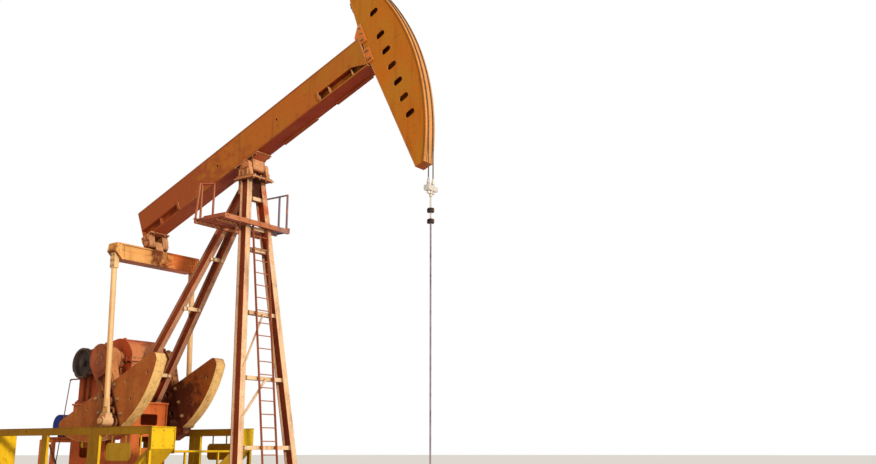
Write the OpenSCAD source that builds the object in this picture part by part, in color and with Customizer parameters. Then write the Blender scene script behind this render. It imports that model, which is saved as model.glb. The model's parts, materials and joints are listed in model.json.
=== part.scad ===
// Pumpjack: a conventional beam pumping unit, nose nearly at the top of its stroke.
// Millimetres. +X is towards the well, +Y is the far side, +Z is up.
// The origin lies on the underside of the skid, straight below the beam's saddle pivot.

/* [Beam] */
// height of the saddle pivot over the underside of the skid
pivot_h = 7200; // [6600:10:7600]
// angle of the beam above the level, nose up
beam_rise = 22.5; // [15:0.5:25]
// depth of the beam
beam_d = 700; // [600:10:800]
// width of the beam
beam_w = 400; // [360:10:460]
// distance from the pivot to the underside of the beam
beam_seat = 170; // [160:5:200]
// distance from the pivot to the tail pin, along the beam
tail_reach = 3400; // [3200:10:3500]
// radius of the horsehead's arc, where the rope runs
head_r = 4670; // [4400:10:4900]

/* [Horsehead] */
// width of the horsehead
head_w = 305; // [260:5:340]
// angle of the arc on either side of the beam's line
head_span = 31; // [29:0.5:33]
// distance from the back edge of the head to the arc, at the beam
head_depth = 1040; // [950:10:1100]
// length of the long holes in the side plates
head_hole = 225; // [200:5:240]

/* [Cranks] */
// distance of the slow shaft behind the pivot
crank_x = 3600; // [3500:10:3700]
// height of the slow shaft over the underside of the skid
crank_z = 3180; // [3150:10:3300]
// distance from the slow shaft to the wrist pin
crank_r = 1500; // [1380:10:1520]
// angle of the cranks below the level
crank_turn = 65.3; // [55:0.1:75]
// distance from the middle plane to the middle of a crank
crank_y = 830; // [820:5:850]
// thickness of a crank
crank_t = 220; // [180:5:240]
// thickness of the counterweights
weight_t = 260; // [200:5:270]
// radius of the counterweights' outer edge
weight_r = 2240; // [2150:10:2260]

/* [Pitmans] */
// distance from the middle plane to the middle of a pitman
pitman_y = 1112; // [1105:1:1130]
// diameter of the pitmans
pitman_d = 120; // [90:5:140]
// depth of the equalizer
equal_d = 370; // [320:10:400]

/* [Post] */
// width of the legs' flanges
leg_w = 140; // [130:5:160]
// depth of the legs' sections
leg_d = 215; // [190:5:230]
// distance of the front feet ahead of the pivot
foot_x = 726; // [700:5:800]
// distance of the front feet from the middle plane
foot_y = 830; // [780:5:860]
// distance from the pivot down to the platform's deck
deck_drop = 1280; // [1200:10:1400]

/* [Skid and guards] */
// depth of the skid's beams
skid_d = 300; // [260:10:340]
// distance of the guards' outer side from the middle plane
guard_y = 1400; // [1380:5:1450]
// height of the guards' top edge
guard_z = 1680; // [1600:10:1750]

/* [Hidden] */
$fn = 48;
gap = 0.5;
seat = 0.3;
ct = cos(beam_rise);
st = sin(beam_rise);
beam_top = beam_seat + beam_d;
beam_tail = tail_reach + 140;
beam_nose = head_r - head_depth - 20;
pin_n = -60;
pin_x = -tail_reach * ct - pin_n * st;
pin_z = pivot_h - tail_reach * st + pin_n * ct;
wrist_x = -crank_x + crank_r * cos(crank_turn);
wrist_z = crank_z - crank_r * sin(crank_turn);
pitman_l = sqrt(pow(pin_x - wrist_x, 2) + pow(pin_z - wrist_z, 2));
pitman_a = atan2(wrist_x - pin_x, pin_z - wrist_z);
cap_z = pivot_h - 270;
leg_top = cap_z - 30;
leg_top_x = foot_x - 756;
leg_top_y = 196;
deck_z = pivot_h - deck_drop;
fast_x = crank_x + 1020;
fast_z = crank_z - 20;
stand_z = crank_z - 920;
sheave_r = 430;
pulley_r = 125;
motor_x = 6000;
motor_z = 1800;
belt_y = 620;
drum_r = 330;
hub_in = 600;
crank_out = crank_y + crank_t / 2 + 10;
weight_in = crank_y - weight_t / 2;
weight_out = crank_y + weight_t / 2;
wrist_in = max(crank_out, weight_out) + 12;
wrist_out = 2 * pitman_y - wrist_in;
rope_r = 13;
rope_y = 75;
rope_x = head_r + rope_r + seat;
carrier_z = pivot_h - 1150;
hanger_z = carrier_z - 750;
rod_end = 260;
rear_top_x = -204;
rear_top_y = 102;
rear_foot_x = -crank_x + 366;
rear_foot_y = 352;
guard_front = -1100;
guard_rear = -6700;
front_mid = -1180;
rear_mid = -6620;

// helpers

// turns a piece drawn along the beam (x along it, z square to it) into its place
module in_beam() {
  translate([0, 0, pivot_h]) rotate([0, -beam_rise, 0]) children();
}

// x runs from the slow shaft along the crank
module in_crank() {
  translate([-crank_x, 0, crank_z]) rotate([0, crank_turn, 0]) children();
}

// z runs up from the wrist pin to the tail pin
module in_pitman() {
  translate([pin_x, 0, pin_z]) rotate([0, -pitman_a, 0]) children();
}

module both() {
  children();
  mirror([0, 1, 0]) children();
}

// a prism along Y between y0 and y1 of a flat shape drawn in x and z
module slab(y0, y1) {
  translate([0, y1, 0]) rotate([90, 0, 0]) linear_extrude(y1 - y0) children();
}

module box(x0, x1, y0, y1, z0, z1) {
  translate([x0, y0, z0]) cube([x1 - x0, y1 - y0, z1 - z0]);
}

module rod_y(x, z, r, y0, y1) {
  translate([x, y1, z]) rotate([90, 0, 0]) cylinder(h = y1 - y0, r = r);
}

// a bar from a to b, its section turned so that its x stays near the world's x
module strut(a, b) {
  d = b - a;
  l = norm(d);
  turn = atan2(d[1], d[0]);
  translate(a) rotate([0, acos(d[2] / l), turn]) rotate([0, 0, -turn]) linear_extrude(l) children();
}

module h_section(d, w, f, t) {
  translate([-d / 2, -w / 2]) square([f, w]);
  translate([d / 2 - f, -w / 2]) square([f, w]);
  translate([-d / 2, -t / 2]) square([d, t]);
}

module flat_bar(w, t) {
  translate([-w / 2, -t / 2]) square([w, t]);
}

// an I-beam lying along X
module i_beam_x(x0, x1, y, w, d, f, t) {
  box(x0, x1, y - w / 2, y + w / 2, 0, f);
  box(x0, x1, y - w / 2, y + w / 2, d - f, d);
  box(x0, x1, y - t / 2, y + t / 2, 0, d);
}

// an I-beam lying along Y
module i_beam_y(x, y0, y1, w, d, f, t) {
  box(x - w / 2, x + w / 2, y0, y1, 0, f);
  box(x - w / 2, x + w / 2, y0, y1, d - f, d);
  box(x - t / 2, x + t / 2, y0, y1, 0, d);
}

function front_x(z) = leg_top_x + (foot_x - leg_top_x) * (leg_top - z) / (leg_top - skid_d);
function front_y(z) = leg_top_y + (foot_y - leg_top_y) * (leg_top - z) / (leg_top - skid_d);
function rear_x(z) = rear_top_x + (rear_foot_x - rear_top_x) * (rear_top - z) / (rear_top - stand_z);
function rear_y(z) = rear_top_y + (rear_foot_y - rear_top_y) * (rear_top - z) / (rear_top - stand_z);

// skid

skid_y = 500;
skid_front = foot_x + 400;
skid_rear = -7150;

module skid_rails() {
  color("peru") both() i_beam_x(skid_rear, skid_front, -skid_y, 200, skid_d, 22, 16);
}

// a cross member between the rails, and its ends beyond them where it reaches further
module cross_at(x, reach, w = 180) {
  box(x - w / 2, x + w / 2, -skid_y + 8, skid_y - 8, 22, skid_d - 22);
  if (reach > skid_y) {
    both() box(x - w / 2, x + w / 2, -reach, -skid_y - 8, 22, skid_d - 22);
    both() box(x - w / 2, x + w / 2, -reach, -skid_y - 100, 0, skid_d);
  }
}

module skid_cross() {
  color("peru") {
    cross_at(foot_x, foot_y + 180, 360);
    cross_at(front_mid, guard_y);
    cross_at(-3150, 0);
    cross_at(-4900, 0);
    cross_at(rear_mid, guard_y);
    cross_at(-5750, 0);
    // the one under the pivot is as deep as the rails
    box(-90, 90, -skid_y + 100, skid_y - 100, 0, skid_d);
  }
}

// gearbox and its stand

stand_front = -crank_x + 650;
stand_back = -fast_x - 420;
stand_hw = 480;

module window(w, h, r) {
  translate([-w / 2 + r, -h / 2]) square([w - 2 * r, h]);
  translate([-w / 2, -h / 2 + r]) square([w, h - 2 * r]);
  for (i = [-1, 1]) {
    for (j = [-1, 1]) {
      translate([i * (w / 2 - r), j * (h / 2 - r)]) circle(r = r, $fn = 24);
    }
  }
}

module gear_stand() {
  h = stand_z - skid_d;
  color("sandybrown") {
    difference() {
      union() {
        box(stand_back, stand_front, -stand_hw, stand_hw, skid_d, stand_z);
        box(stand_back - 40, stand_front + 30, -stand_hw - 30, stand_hw + 30, stand_z - 40, stand_z);
        box(stand_back - 60, stand_front + 60, -stand_hw - 60, stand_hw + 60, skid_d, skid_d + 30);
      }
      box(stand_back + 20, stand_front - 20, -stand_hw + 20, stand_hw - 20, skid_d - 10, stand_z - 40);
      for (k = [0, 1, 2]) {
        translate([0, 0, stand_z - 385 - k * 490]) {
          translate([stand_front + 100, 0, 0]) rotate([90, 0, -90]) linear_extrude(200) window(460, 240, 50);
          translate([stand_back + 100, 0, 0]) rotate([90, 0, -90]) linear_extrude(200) window(460, 240, 50);
        }
      }
      for (x = [0.28, 0.72]) {
        translate([stand_back + (stand_front - stand_back) * x, 0, stand_z - 900]) {
          slab(-stand_hw - 50, stand_hw + 50) window(520, 620, 80);
        }
      }
    }
    for (y = [-1, 1]) {
      box(stand_front - 10, stand_front + 25, y * (stand_hw - 15) - 15, y * (stand_hw - 15) + 15, skid_d, stand_z);
    }
  }
}

case_hw = 450;

module case_outline() {
  translate([-crank_x, crank_z]) circle(r = 500, $fn = 96);
  translate([-fast_x, fast_z]) circle(r = 330, $fn = 64);
  translate([-fast_x, stand_z + 40]) square([fast_x - crank_x - 60, crank_z - stand_z - 40]);
  translate([-fast_x - 330, stand_z + 40]) square([330, fast_z - stand_z - 40]);
  polygon([
    [-crank_x - 40, crank_z], [-crank_x - 40, crank_z + 498],
    [-fast_x, fast_z + 330], [-fast_x - 200, fast_z]
  ]);
}

module gearbox_case() {
  color("indianred") {
    difference() {
      union() {
        slab(-case_hw, case_hw) case_outline();
        // base flange and narrow foot under the slow gear
        box(-fast_x - 400, -crank_x + 150, -stand_hw, stand_hw, stand_z + seat, stand_z + 50);
        box(-crank_x - 200, -crank_x + 380, -270, 270, stand_z + 40, crank_z - 300);
        // split flange at the height of the shafts
        box(-fast_x - 390, -crank_x + 545, -case_hw - 45, case_hw + 45, crank_z - 32, crank_z + 32);
        // bearing bosses
        both() rod_y(-crank_x, crank_z, 235, -case_hw - 90, -case_hw + 20);
        both() rod_y(-fast_x, fast_z, 130, -case_hw - 40, -case_hw + 20);
        both() rod_y(-crank_x - 590, fast_z, 150, -case_hw - 60, -case_hw + 20);
        // look-in cover on top
        box(-crank_x - 760, -crank_x - 400, -200, 200, crank_z + 340, crank_z + 470);
      }
      rod_y(-crank_x, crank_z, 110 + gap, -case_hw - 200, case_hw + 200);
      rod_y(-fast_x, fast_z, 45 + gap, -case_hw - 200, case_hw + 200);
    }
  }
}

module slow_shaft() {
  color("silver") {
    rod_y(-crank_x, crank_z, 110, -crank_out - 8, crank_out + 8);
  }
}

// cranks and counterweights

crank_len = crank_r + 340;
stroke_step = 235;
pocket = 90;

module crank_outline() {
  circle(r = 340, $fn = 96);
  polygon([
    [0, 335], [500, 250], [crank_len - 60, 250], [crank_len, 190],
    [crank_len, -190], [crank_len - 60, -250], [500, -250], [0, -335]
  ]);
}

module crank_arms() {
  color("chocolate") both() in_crank() {
    difference() {
      union() {
        slab(-crank_y - crank_t / 2, -crank_y + crank_t / 2) crank_outline();
        rod_y(0, 0, 300, -crank_out, -hub_in);
        // nut of the wrist pin on the inner side
        rod_y(crank_r, 0, 90, -crank_y, -crank_y + crank_t / 2 + 60);
      }
      rod_y(0, 0, 110 + seat, -crank_out - 50, -hub_in + 50);
      // long pocket that leaves the crank's edges standing as rails round the bosses
      difference() {
        slab(-crank_y - crank_t / 2 - 50, -crank_y - crank_t / 2 + pocket) {
          translate([380, -190]) square([crank_len - 480, 380]);
        }
        rod_y(crank_r, 0, 130, -crank_out, 0);
        for (k = [1, 2, 3]) {
          rod_y(crank_r - k * stroke_step, 0, 100, -crank_out + 10, 0);
        }
      }
      for (k = [1, 2, 3]) {
        rod_y(crank_r - k * stroke_step, 0, 62, -crank_out - 50, -hub_in + 50);
      }
      // slit that clamps the hub on the shaft
      box(-400, -100, -crank_out - 50, -hub_in + 50, -9, 9);
    }
  }
}

weight_off = 500;
weight_chord = 700;
weight_edge = 250 + seat;

module weight_outline() {
  // the outer corner is cut level a little inside the arc's crossing with the chord
  top = sqrt(pow(weight_r, 2) - pow(weight_chord + weight_off, 2)) - 150;
  corner = 110;
  intersection() {
    translate([-weight_off, 0]) circle(r = weight_r, $fn = 180);
    union() {
      translate([weight_chord, weight_edge]) square([weight_r, top - weight_edge - corner]);
      translate([weight_chord + corner, weight_edge]) square([weight_r, top - weight_edge]);
      translate([weight_chord + corner, top - corner]) circle(r = corner, $fn = 64);
    }
  }
}

module crank_weights() {
  color("sienna") both() in_crank() {
    for (m = [0, 1]) {
      mirror([0, 0, m]) difference() {
        slab(-weight_out, -weight_in) weight_outline();
        // lifting and bolt holes
        rod_y(1040, 1370, 30, -weight_out - 50, -weight_in + 50);
        rod_y(890, 685, 30, -weight_out - 50, -weight_in + 50);
        rod_y(1320, 700, 30, -weight_out - 50, -weight_in + 50);
      }
    }
  }
}

// front and rear legs, cap, platform, ladder

// the room that a front leg takes, a little larger all round by grow
module front_leg_room(side, grow) {
  a = [front_x(leg_top + 60), side * front_y(leg_top + 60), leg_top + 60];
  b = [front_x(skid_d - 60), side * front_y(skid_d - 60), skid_d - 60];
  strut(b, a) square([leg_d + 2 * grow, leg_w + 2 * grow], center = true);
}

module leg_front(side) {
  a = [front_x(leg_top + 60), side * front_y(leg_top + 60), leg_top + 60];
  b = [front_x(skid_d - 60), side * front_y(skid_d - 60), skid_d - 60];
  intersection() {
    strut(b, a) h_section(leg_d, leg_w, 14, 12);
    box(-2000, 3000, -3000, 3000, skid_d + 25, leg_top);
  }
  // foot plate and its two gussets
  box(foot_x - 170, foot_x + 170, side * foot_y - 170, side * foot_y + 170, skid_d, skid_d + 26);
  for (k = [-1, 1]) {
    translate([0, side * foot_y + 8, 0]) rotate([90, 0, 0]) linear_extrude(16) {
      polygon([
        [foot_x + k * 70, skid_d + 20], [foot_x + k * 160, skid_d + 20],
        [foot_x + k * 70 - 20, skid_d + 260]
      ]);
    }
  }
}

module front_leg_near() {
  color("orangered") leg_front(-1);
}

module front_leg_far() {
  color("orangered") leg_front(1);
}

brace_drop = [420, 1100, 1570, 2930, 4270, 5640];
brace_z = [for (d = brace_drop) leg_top - d];

module front_brace_bars(grow) {
  for (z = brace_z) {
    x = front_x(z) + leg_d / 2;
    box(x - 26 - grow, x - 14 + grow, -front_y(z), front_y(z), z - 40 - grow, z + 40 + grow);
    box(x - 150 - grow, x - 14 + grow, -front_y(z), front_y(z), z - 40 - grow, z - 28 + grow);
  }
}

// a diagonal from the middle of a brace at height a to the near leg at height b
module front_diagonal(a, b) {
  x = leg_d / 2 - 9;
  strut([front_x(a) + x, 30, a], [front_x(b) + x, -front_y(b), b]) square([12, 64], center = true);
}

module front_braces() {
  color("orange") difference() {
    union() {
      front_brace_bars(0);
      front_diagonal(brace_z[3] - 20, brace_z[4] + 190);
      front_diagonal(brace_z[4] - 20, brace_z[5] + 560);
    }
    for (side = [-1, 1]) {
      front_leg_room(side, seat);
    }
  }
}

rear_top = leg_top - 200;
rear_w = leg_w - 15;
rear_d = leg_d - 15;

module rear_leg_room(side, grow) {
  a = [rear_x(rear_top + 260), side * rear_y(rear_top + 260), rear_top + 260];
  b = [rear_x(stand_z - 60), side * rear_y(stand_z - 60), stand_z - 60];
  strut(b, a) square([rear_d + 2 * grow, rear_w + 2 * grow], center = true);
}

module leg_rear(side) {
  a = [rear_x(rear_top + 260), side * rear_y(rear_top + 260), rear_top + 260];
  b = [rear_x(stand_z - 60), side * rear_y(stand_z - 60), stand_z - 60];
  intersection() {
    strut(b, a) h_section(rear_d, rear_w, 14, 12);
    box(-6000, leg_top_x - leg_d / 2 - 12, -3000, 3000, stand_z + 25, leg_top);
  }
  x = rear_x(stand_z);
  box(x - 140, x + 140, side * rear_foot_y - 74, side * rear_foot_y + 74, stand_z, stand_z + 26);
}

module rear_leg_near() {
  color("orangered") leg_rear(-1);
}

module rear_leg_far() {
  color("orangered") leg_rear(1);
}

rear_brace_z = [for (k = [0.32, 0.552, 0.867]) rear_top - k * (rear_top - stand_z)];

module rear_braces() {
  // the braces lie against the front flanges of the leaning legs
  lap = rear_d / 2 + 12;
  color("orange") difference() {
    union() {
      for (z = rear_brace_z) {
        box(rear_x(z) + lap - 32, rear_x(z) + lap + 32, -rear_y(z), rear_y(z), z - 40, z + 40);
      }
    }
    for (side = [-1, 1]) {
      rear_leg_room(side, seat);
    }
  }
}

module post_cap() {
  color("orange") {
    box(-290, 290, -310, 310, leg_top, cap_z);
    difference() {
      union() {
        // plates that take the four legs
        box(-60, 60, -240, 240, leg_top - 360, leg_top);
        box(-260, -90, -200, 200, leg_top - 300, leg_top);
      }
      for (side = [-1, 1]) {
        front_leg_room(side, seat);
        rear_leg_room(side, seat);
      }
      translate([-90, 0, 0]) box(-5, 25, -400, 400, 0, leg_top - 40);
    }
  }
}

saddle_r = 60;

module saddle_base() {
  color("orange") {
    box(-230, 230, -300, 300, cap_z + seat, cap_z + 40);
    both() difference() {
      union() {
        rod_y(0, pivot_h, 125, -298, -198);
        slab(-298, -198) polygon([
          [-190, cap_z + 30], [190, cap_z + 30], [122, pivot_h - 20], [122, pivot_h],
          [-122, pivot_h], [-122, pivot_h - 20]
        ]);
        rod_y(0, pivot_h, 90, -312, -298);
      }
      rod_y(0, pivot_h, saddle_r + gap, -305, -100);
    }
  }
}

module saddle_shaft() {
  top = beam_seat - seat;
  color("darkorange") {
    rod_y(0, pivot_h, saddle_r, -296, 296);
    in_beam() {
      difference() {
        union() {
          slab(-180, 180) polygon([
            [-130, -20], [130, -20], [170, 90], [330, top - 30], [330, top],
            [-330, top], [-330, top - 30], [-170, 90]
          ]);
          rod_y(0, 0, 130, -180, 180);
          box(-360, 360, -beam_w / 2 - 20, beam_w / 2 + 20, top - 30, top);
        }
      }
    }
  }
}

deck_near = -1080;
deck_far = 800;
deck_back = -600;
deck_front = 340;

module leg_rooms() {
  for (side = [-1, 1]) {
    front_leg_room(side, seat);
    rear_leg_room(side, seat);
  }
}

// two wings of spaced boards on three cross beams that rest against the legs
module deck_frame() {
  color("peru") difference() {
    union() {
      for (x = [deck_back, front_x(deck_z) - leg_d / 2 - 60, deck_front - 60]) {
        box(x, x + 60, deck_near, deck_far, deck_z - 90, deck_z - 30);
      }
      for (k = [0:5]) {
        box(deck_back, deck_front, deck_near + k * 122, deck_near + k * 122 + 62, deck_z - 30, deck_z);
      }
      for (k = [0:3]) {
        box(deck_back, deck_front, deck_far - k * 122 - 62, deck_far - k * 122, deck_z - 30, deck_z);
      }
      // short boards between the front legs and the front edge
      for (y = [-330, -190, -50, 90, 230]) {
        box(front_x(deck_z) + leg_d / 2 + 40, deck_front, y, y + 62, deck_z - 30, deck_z);
      }
      // toe boards
      box(-300, deck_front, deck_near - 10, deck_near + 10, deck_z - 60, deck_z + 20);
      box(deck_front - 8, deck_front, deck_near, deck_far, deck_z - 70, deck_z + 12);
      box(-100, deck_front, deck_far - 10, deck_far + 10, deck_z - 60, deck_z + 40);
      // side arms that pass the front legs and are bolted to them
      for (side = [-1, 1]) {
        y = side * (front_y(deck_z) + leg_w / 2 + 12);
        box(deck_back, deck_front, y - 8, y + 8, deck_z - 90, deck_z - 30);
      }
    }
    leg_rooms();
  }
}

module deck_post(x, y, lean) {
  strut([x, y, deck_z], [x, y + lean, deck_z + 800]) square(34, center = true);
}

module deck_rails() {
  top = deck_z + 790;
  color("peru") difference() {
    union() {
      deck_post(deck_back + 20, deck_near + 17, 80);
      deck_post(deck_back + 20, deck_near + 150, 0);
      deck_post(deck_back + 250, -800, 0);
      strut([deck_back + 20, deck_near + 97, top], [deck_back + 20, deck_near + 150, top]) square(30, center = true);
      strut([deck_back + 20, deck_near + 150, top], [deck_back + 250, -800, top]) square(30, center = true);
      for (x = [deck_back + 150, 50, deck_front - 50]) {
        deck_post(x, deck_far - 45, 0);
      }
      box(deck_back + 135, deck_front - 33, deck_far - 60, deck_far - 30, top - 15, top + 15);
    }
    box(-2000, 2000, -2000, 2000, deck_z - 100, deck_z);
  }
}

ladder_hw = 205;

ladder_out = leg_d / 2 + 45;

// the ladder stands off the front braces
module ladder() {
  color("peru") difference() {
    union() {
      for (y = [-1, 1]) {
        a = [front_x(deck_z - 70) + ladder_out, y * ladder_hw, deck_z - 70];
        b = [front_x(skid_d + 40) + ladder_out, y * ladder_hw, skid_d + 40];
        strut(b, a) flat_bar(52, 12);
        for (z = brace_z) {
          if (z < deck_z - 200) {
            box(front_x(z), front_x(z) + ladder_out, y * (ladder_hw - 8) - 8, y * (ladder_hw - 8) + 8, z - 20, z + 20);
          }
        }
      }
      for (k = [0:floor((deck_z - 100 - skid_d - 290) / 265)]) {
        z = skid_d + 290 + k * 265;
        rod_y(front_x(z) + ladder_out, z, 11, -ladder_hw, ladder_hw, $fn = 12);
      }
    }
    front_brace_bars(seat);
  }
}

// walking beam

lip_s = 2250;
groove_lo = 30;
groove_hi = 215;

module walking_beam() {
  color("darkorange") in_beam() {
    difference() {
      box(-beam_tail, beam_nose, -beam_w / 2, beam_w / 2, beam_seat, beam_top);
      // long slots on both sides, beyond the lips
      both() {
        box(-beam_tail - 10, -lip_s, -beam_w / 2 - 1, -beam_w / 2 + 120, beam_seat + groove_lo, beam_seat + groove_hi);
        box(lip_s, beam_nose + 10, -beam_w / 2 - 1, -beam_w / 2 + 120, beam_seat + groove_lo, beam_seat + groove_hi);
      }
      // inside of the box, narrow beside the slots
      box(-beam_tail + 20, beam_nose - 20, -beam_w / 2 + 16, beam_w / 2 - 16, beam_seat + groove_hi + 16, beam_top - 20);
      box(-beam_tail + 20, beam_nose - 20, -beam_w / 2 + 136, beam_w / 2 - 136, beam_seat + 20, beam_top - 20);
      // two holes through both side plates
      rod_y(-830, beam_seat + 350, 28, -beam_w, beam_w);
      rod_y(1070, beam_seat + 350, 28, -beam_w, beam_w);
    }
    // lips at the ends of the slots
    both() for (k = [-1, 1]) {
      box(k * lip_s - 25, k * lip_s + 25, -beam_w / 2 - 16, -beam_w / 2, beam_seat + 50, beam_seat + 250);
    }
    // gussets that close the slots' upper corners at the nose
    both() slab(-beam_w / 2, -beam_w / 2 + 14) polygon([
      [beam_nose - 380, beam_seat + groove_hi], [beam_nose, beam_seat + groove_hi], [beam_nose, beam_seat + groove_lo + 10]
    ]);
    // patch plates under the far lower edge
    for (x = [820, 2410]) {
      box(x, x + 1020, beam_w / 2 - 70, beam_w / 2 + 12, beam_seat - 22, beam_seat);
    }
  }
}

// horsehead

head_back = head_r - head_depth;
head_mid = beam_seat + beam_d / 2;
head_bot_n = -head_r * sin(head_span);
head_top_n = head_r * sin(head_span);

module head_area(inset) {
  r = head_r - 20 - inset;
  intersection() {
    circle(r = r, $fn = 360);
    polygon([
      [head_back + 160 + inset, head_bot_n + inset], [head_back + inset, head_mid],
      [head_back + 110 + inset, head_top_n - 30 - inset], [head_back + 170, head_top_n - inset],
      [head_r, head_top_n - inset], [head_r, head_bot_n + inset]
    ]);
  }
}

module head_holes() {
  for (n = [-1330, -940, -550, -150, 240, 640, 1210, 1960]) {
    x = n > 1500 ? head_back + 310 : head_r - 585 + (n > 1000 ? 40 : 0);
    r = 58;
    l = head_hole - 2 * r;
    translate([x, n]) rotate([0, 0, 6]) {
      translate([-l / 2, -r]) square([l, 2 * r]);
      translate([-l / 2, 0]) circle(r = r, $fn = 24);
      translate([l / 2, 0]) circle(r = r, $fn = 24);
    }
  }
}

module head_sides() {
  color("darkorange") in_beam() both() {
    slab(-head_w / 2 + 14, -head_w / 2 + 30) difference() {
      head_area(0);
      head_holes();
    }
  }
}

module head_rim() {
  color("orange") in_beam() difference() {
    union() {
      // arc plate, a little wider than the side plates
      intersection() {
        slab(-head_w / 2, head_w / 2) difference() {
          circle(r = head_r, $fn = 360);
          circle(r = head_r - 20, $fn = 360);
        }
        box(0, head_r + 100, -head_w, head_w, head_bot_n, head_top_n);
      }
      // back, top and bottom plates, let in between the side plates
      intersection() {
        slab(-head_w / 2 + 30, head_w / 2 - 30) difference() {
          head_area(0);
          head_area(16);
        }
        box(0, head_r + 100, -head_w, head_w, head_bot_n - 100, head_top_n + 100);
      }
    }
  }
}

module head_brackets() {
  x0 = beam_nose + seat;
  z1 = beam_top + seat;
  side = head_w / 2 + 16;
  color("orange") in_beam() {
    // block that fills the joint between the beam's end and the head's back plate
    difference() {
      box(x0, head_back + 100, -head_w / 2 + 30, head_w / 2 - 30, beam_seat + 30, beam_top - 30);
      translate([-seat, 0, 0]) slab(-head_w, head_w) head_area(0);
    }
    // hinge straps on both sides, over the top and below it
    both() {
      slab(-side, -head_w / 2 + 14) polygon([
        [beam_nose - 90, z1], [x0, z1], [x0, beam_top - 140], [head_back + 130, beam_top - 140],
        [head_back + 130, beam_top + 300], [head_back + 60, beam_top + 300], [beam_nose - 90, beam_top + 90]
      ]);
      slab(-side, -head_w / 2 + 14) polygon([
        [x0, beam_seat + 60], [head_back + 130, beam_seat + 60], [head_back + 130, beam_top - 300],
        [x0, beam_top - 300]
      ]);
    }
    box(beam_nose - 90, beam_nose, -side, side, z1, beam_top + 40);
  }
}

// wire rope from its anchor on the head's back round the arc to the point where it leaves
module bridle_wrap() {
  color("dimgray") in_beam() both() {
    translate([0, -rope_y, 0]) rotate([90, 0, 0]) rotate([0, 0, -beam_rise]) {
      rotate_extrude(angle = beam_rise + head_span - 2, $fn = 300) translate([rope_x, 0]) circle(r = rope_r, $fn = 16);
    }
    // clamp that anchors the rope at the top of the arc
    rotate([0, -head_span + 3, 0]) box(head_r, head_r + 40, -rope_y - 30, -rope_y + 30, -60, 60);
  }
}

// tail bearing, equalizer, pitmans

ear_in = 110;
ear_out = 270;
tail_r = 55;

module tail_housings() {
  color("orange") in_beam() both() {
    difference() {
      union() {
        rod_y(-tail_reach, pin_n, 115, -ear_out, -ear_in);
        slab(-ear_out, -ear_in) polygon([
          [-tail_reach - 112, pin_n], [-tail_reach + 112, pin_n],
          [-tail_reach + 138, beam_seat - 20], [-tail_reach - 138, beam_seat - 20]
        ]);
        box(-tail_reach - 138, -tail_reach + 220, -ear_out, 0, beam_seat - 30, beam_seat - seat);
      }
      rod_y(-tail_reach, pin_n, tail_r + gap, -ear_out - 50, -ear_in + 50);
    }
  }
}

eq_top = -135;
eq_hw = 150;

module tail_pin() {
  color("saddlebrown") {
    rod_y(pin_x, pin_z, tail_r, -ear_out - 20, ear_out + 20);
    in_pitman() {
      slab(-ear_in + 6, ear_in - 6) polygon([
        [-100, 0], [100, 0], [140, eq_top + 20], [140, eq_top], [-140, eq_top], [-140, eq_top + 20]
      ]);
      rod_y(0, 0, 100, -ear_in + 6, ear_in - 6);
    }
  }
}

eq_reach = wrist_out - 40;

// the equalizer seen along X, with slanting ends underneath
module equalizer_prism(hw) {
  translate([-hw, 0, 0]) rotate([90, 0, 90]) linear_extrude(2 * hw) polygon([
    [-eq_reach + 40, eq_top - seat], [eq_reach - 40, eq_top - seat],
    [eq_reach, eq_top - equal_d * 0.5], [eq_reach - 190, eq_top - equal_d],
    [-eq_reach + 190, eq_top - equal_d], [-eq_reach, eq_top - equal_d * 0.5]
  ]);
}

module equalizer_beam() {
  color("gold") in_pitman() difference() {
    equalizer_prism(eq_hw);
    // shallow panels on both faces
    both() for (k = [-1, 1]) {
      translate([k * eq_hw, 0, 0]) box(-12, 12, -eq_reach + 170, -200, eq_top - equal_d * 0.46, eq_top - 40);
    }
  }
}

module pitman_arms() {
  low = eq_top - equal_d;
  foot = wrist_h + seat;
  color("burlywood") both() in_pitman() {
    translate([0, -pitman_y, -pitman_l + 300]) cylinder(h = pitman_l - 300 + low - 130, d = pitman_d);
    // head that is bolted to the slanting underside of the equalizer's end
    difference() {
      translate([0, -pitman_y, 0]) box(-75, 75, -60, 60, low - 190, low + 150);
      translate([0, 0, -seat]) equalizer_prism(eq_hw);
      box(-200, 200, -eq_reach - 300, 0, eq_top - equal_d * 0.5 - 20, 0);
    }
    // flared foot on top of the wrist housing
    translate([0, -pitman_y, -pitman_l]) {
      slab(-32, 32) polygon([
        [-92, foot], [92, foot], [68, 320], [60, 480], [-60, 480], [-68, 320]
      ]);
      box(-100, 100, -75, 75, foot, foot + 26);
    }
  }
}

wrist_h = 135;
wrist_r = 105;

module wrist_housings() {
  color("silver") both() in_pitman() translate([0, 0, -pitman_l]) {
    rod_y(0, 0, wrist_r, -wrist_out, -wrist_in - 20);
    rod_y(0, 0, 62, -wrist_out - 30, -wrist_in);
    slab(-pitman_y - 85, -pitman_y + 85) polygon([
      [-wrist_r + 2, 0], [wrist_r - 2, 0], [wrist_r - 8, wrist_h], [-wrist_r + 8, wrist_h]
    ]);
  }
}

// drive

module belt_sheave() {
  color("dimgray") difference() {
    union() {
      difference() {
        rod_y(-fast_x, fast_z, sheave_r, belt_y - 75, belt_y + 65);
        rod_y(-fast_x, fast_z, sheave_r - 60, belt_y - 55, belt_y + 90);
      }
      rod_y(-fast_x, fast_z, 85, belt_y - 75, belt_y + 60);
      rod_y(-fast_x, fast_z, 45, -belt_y - 60, belt_y + 70);
    }
    for (k = [0:5]) {
      rotate([0, 0, 0]) translate([-fast_x, 0, fast_z]) rotate([0, 60 * k, 0]) {
        rod_y(230, 0, 75, belt_y - 100, belt_y);
      }
    }
  }
}

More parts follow.
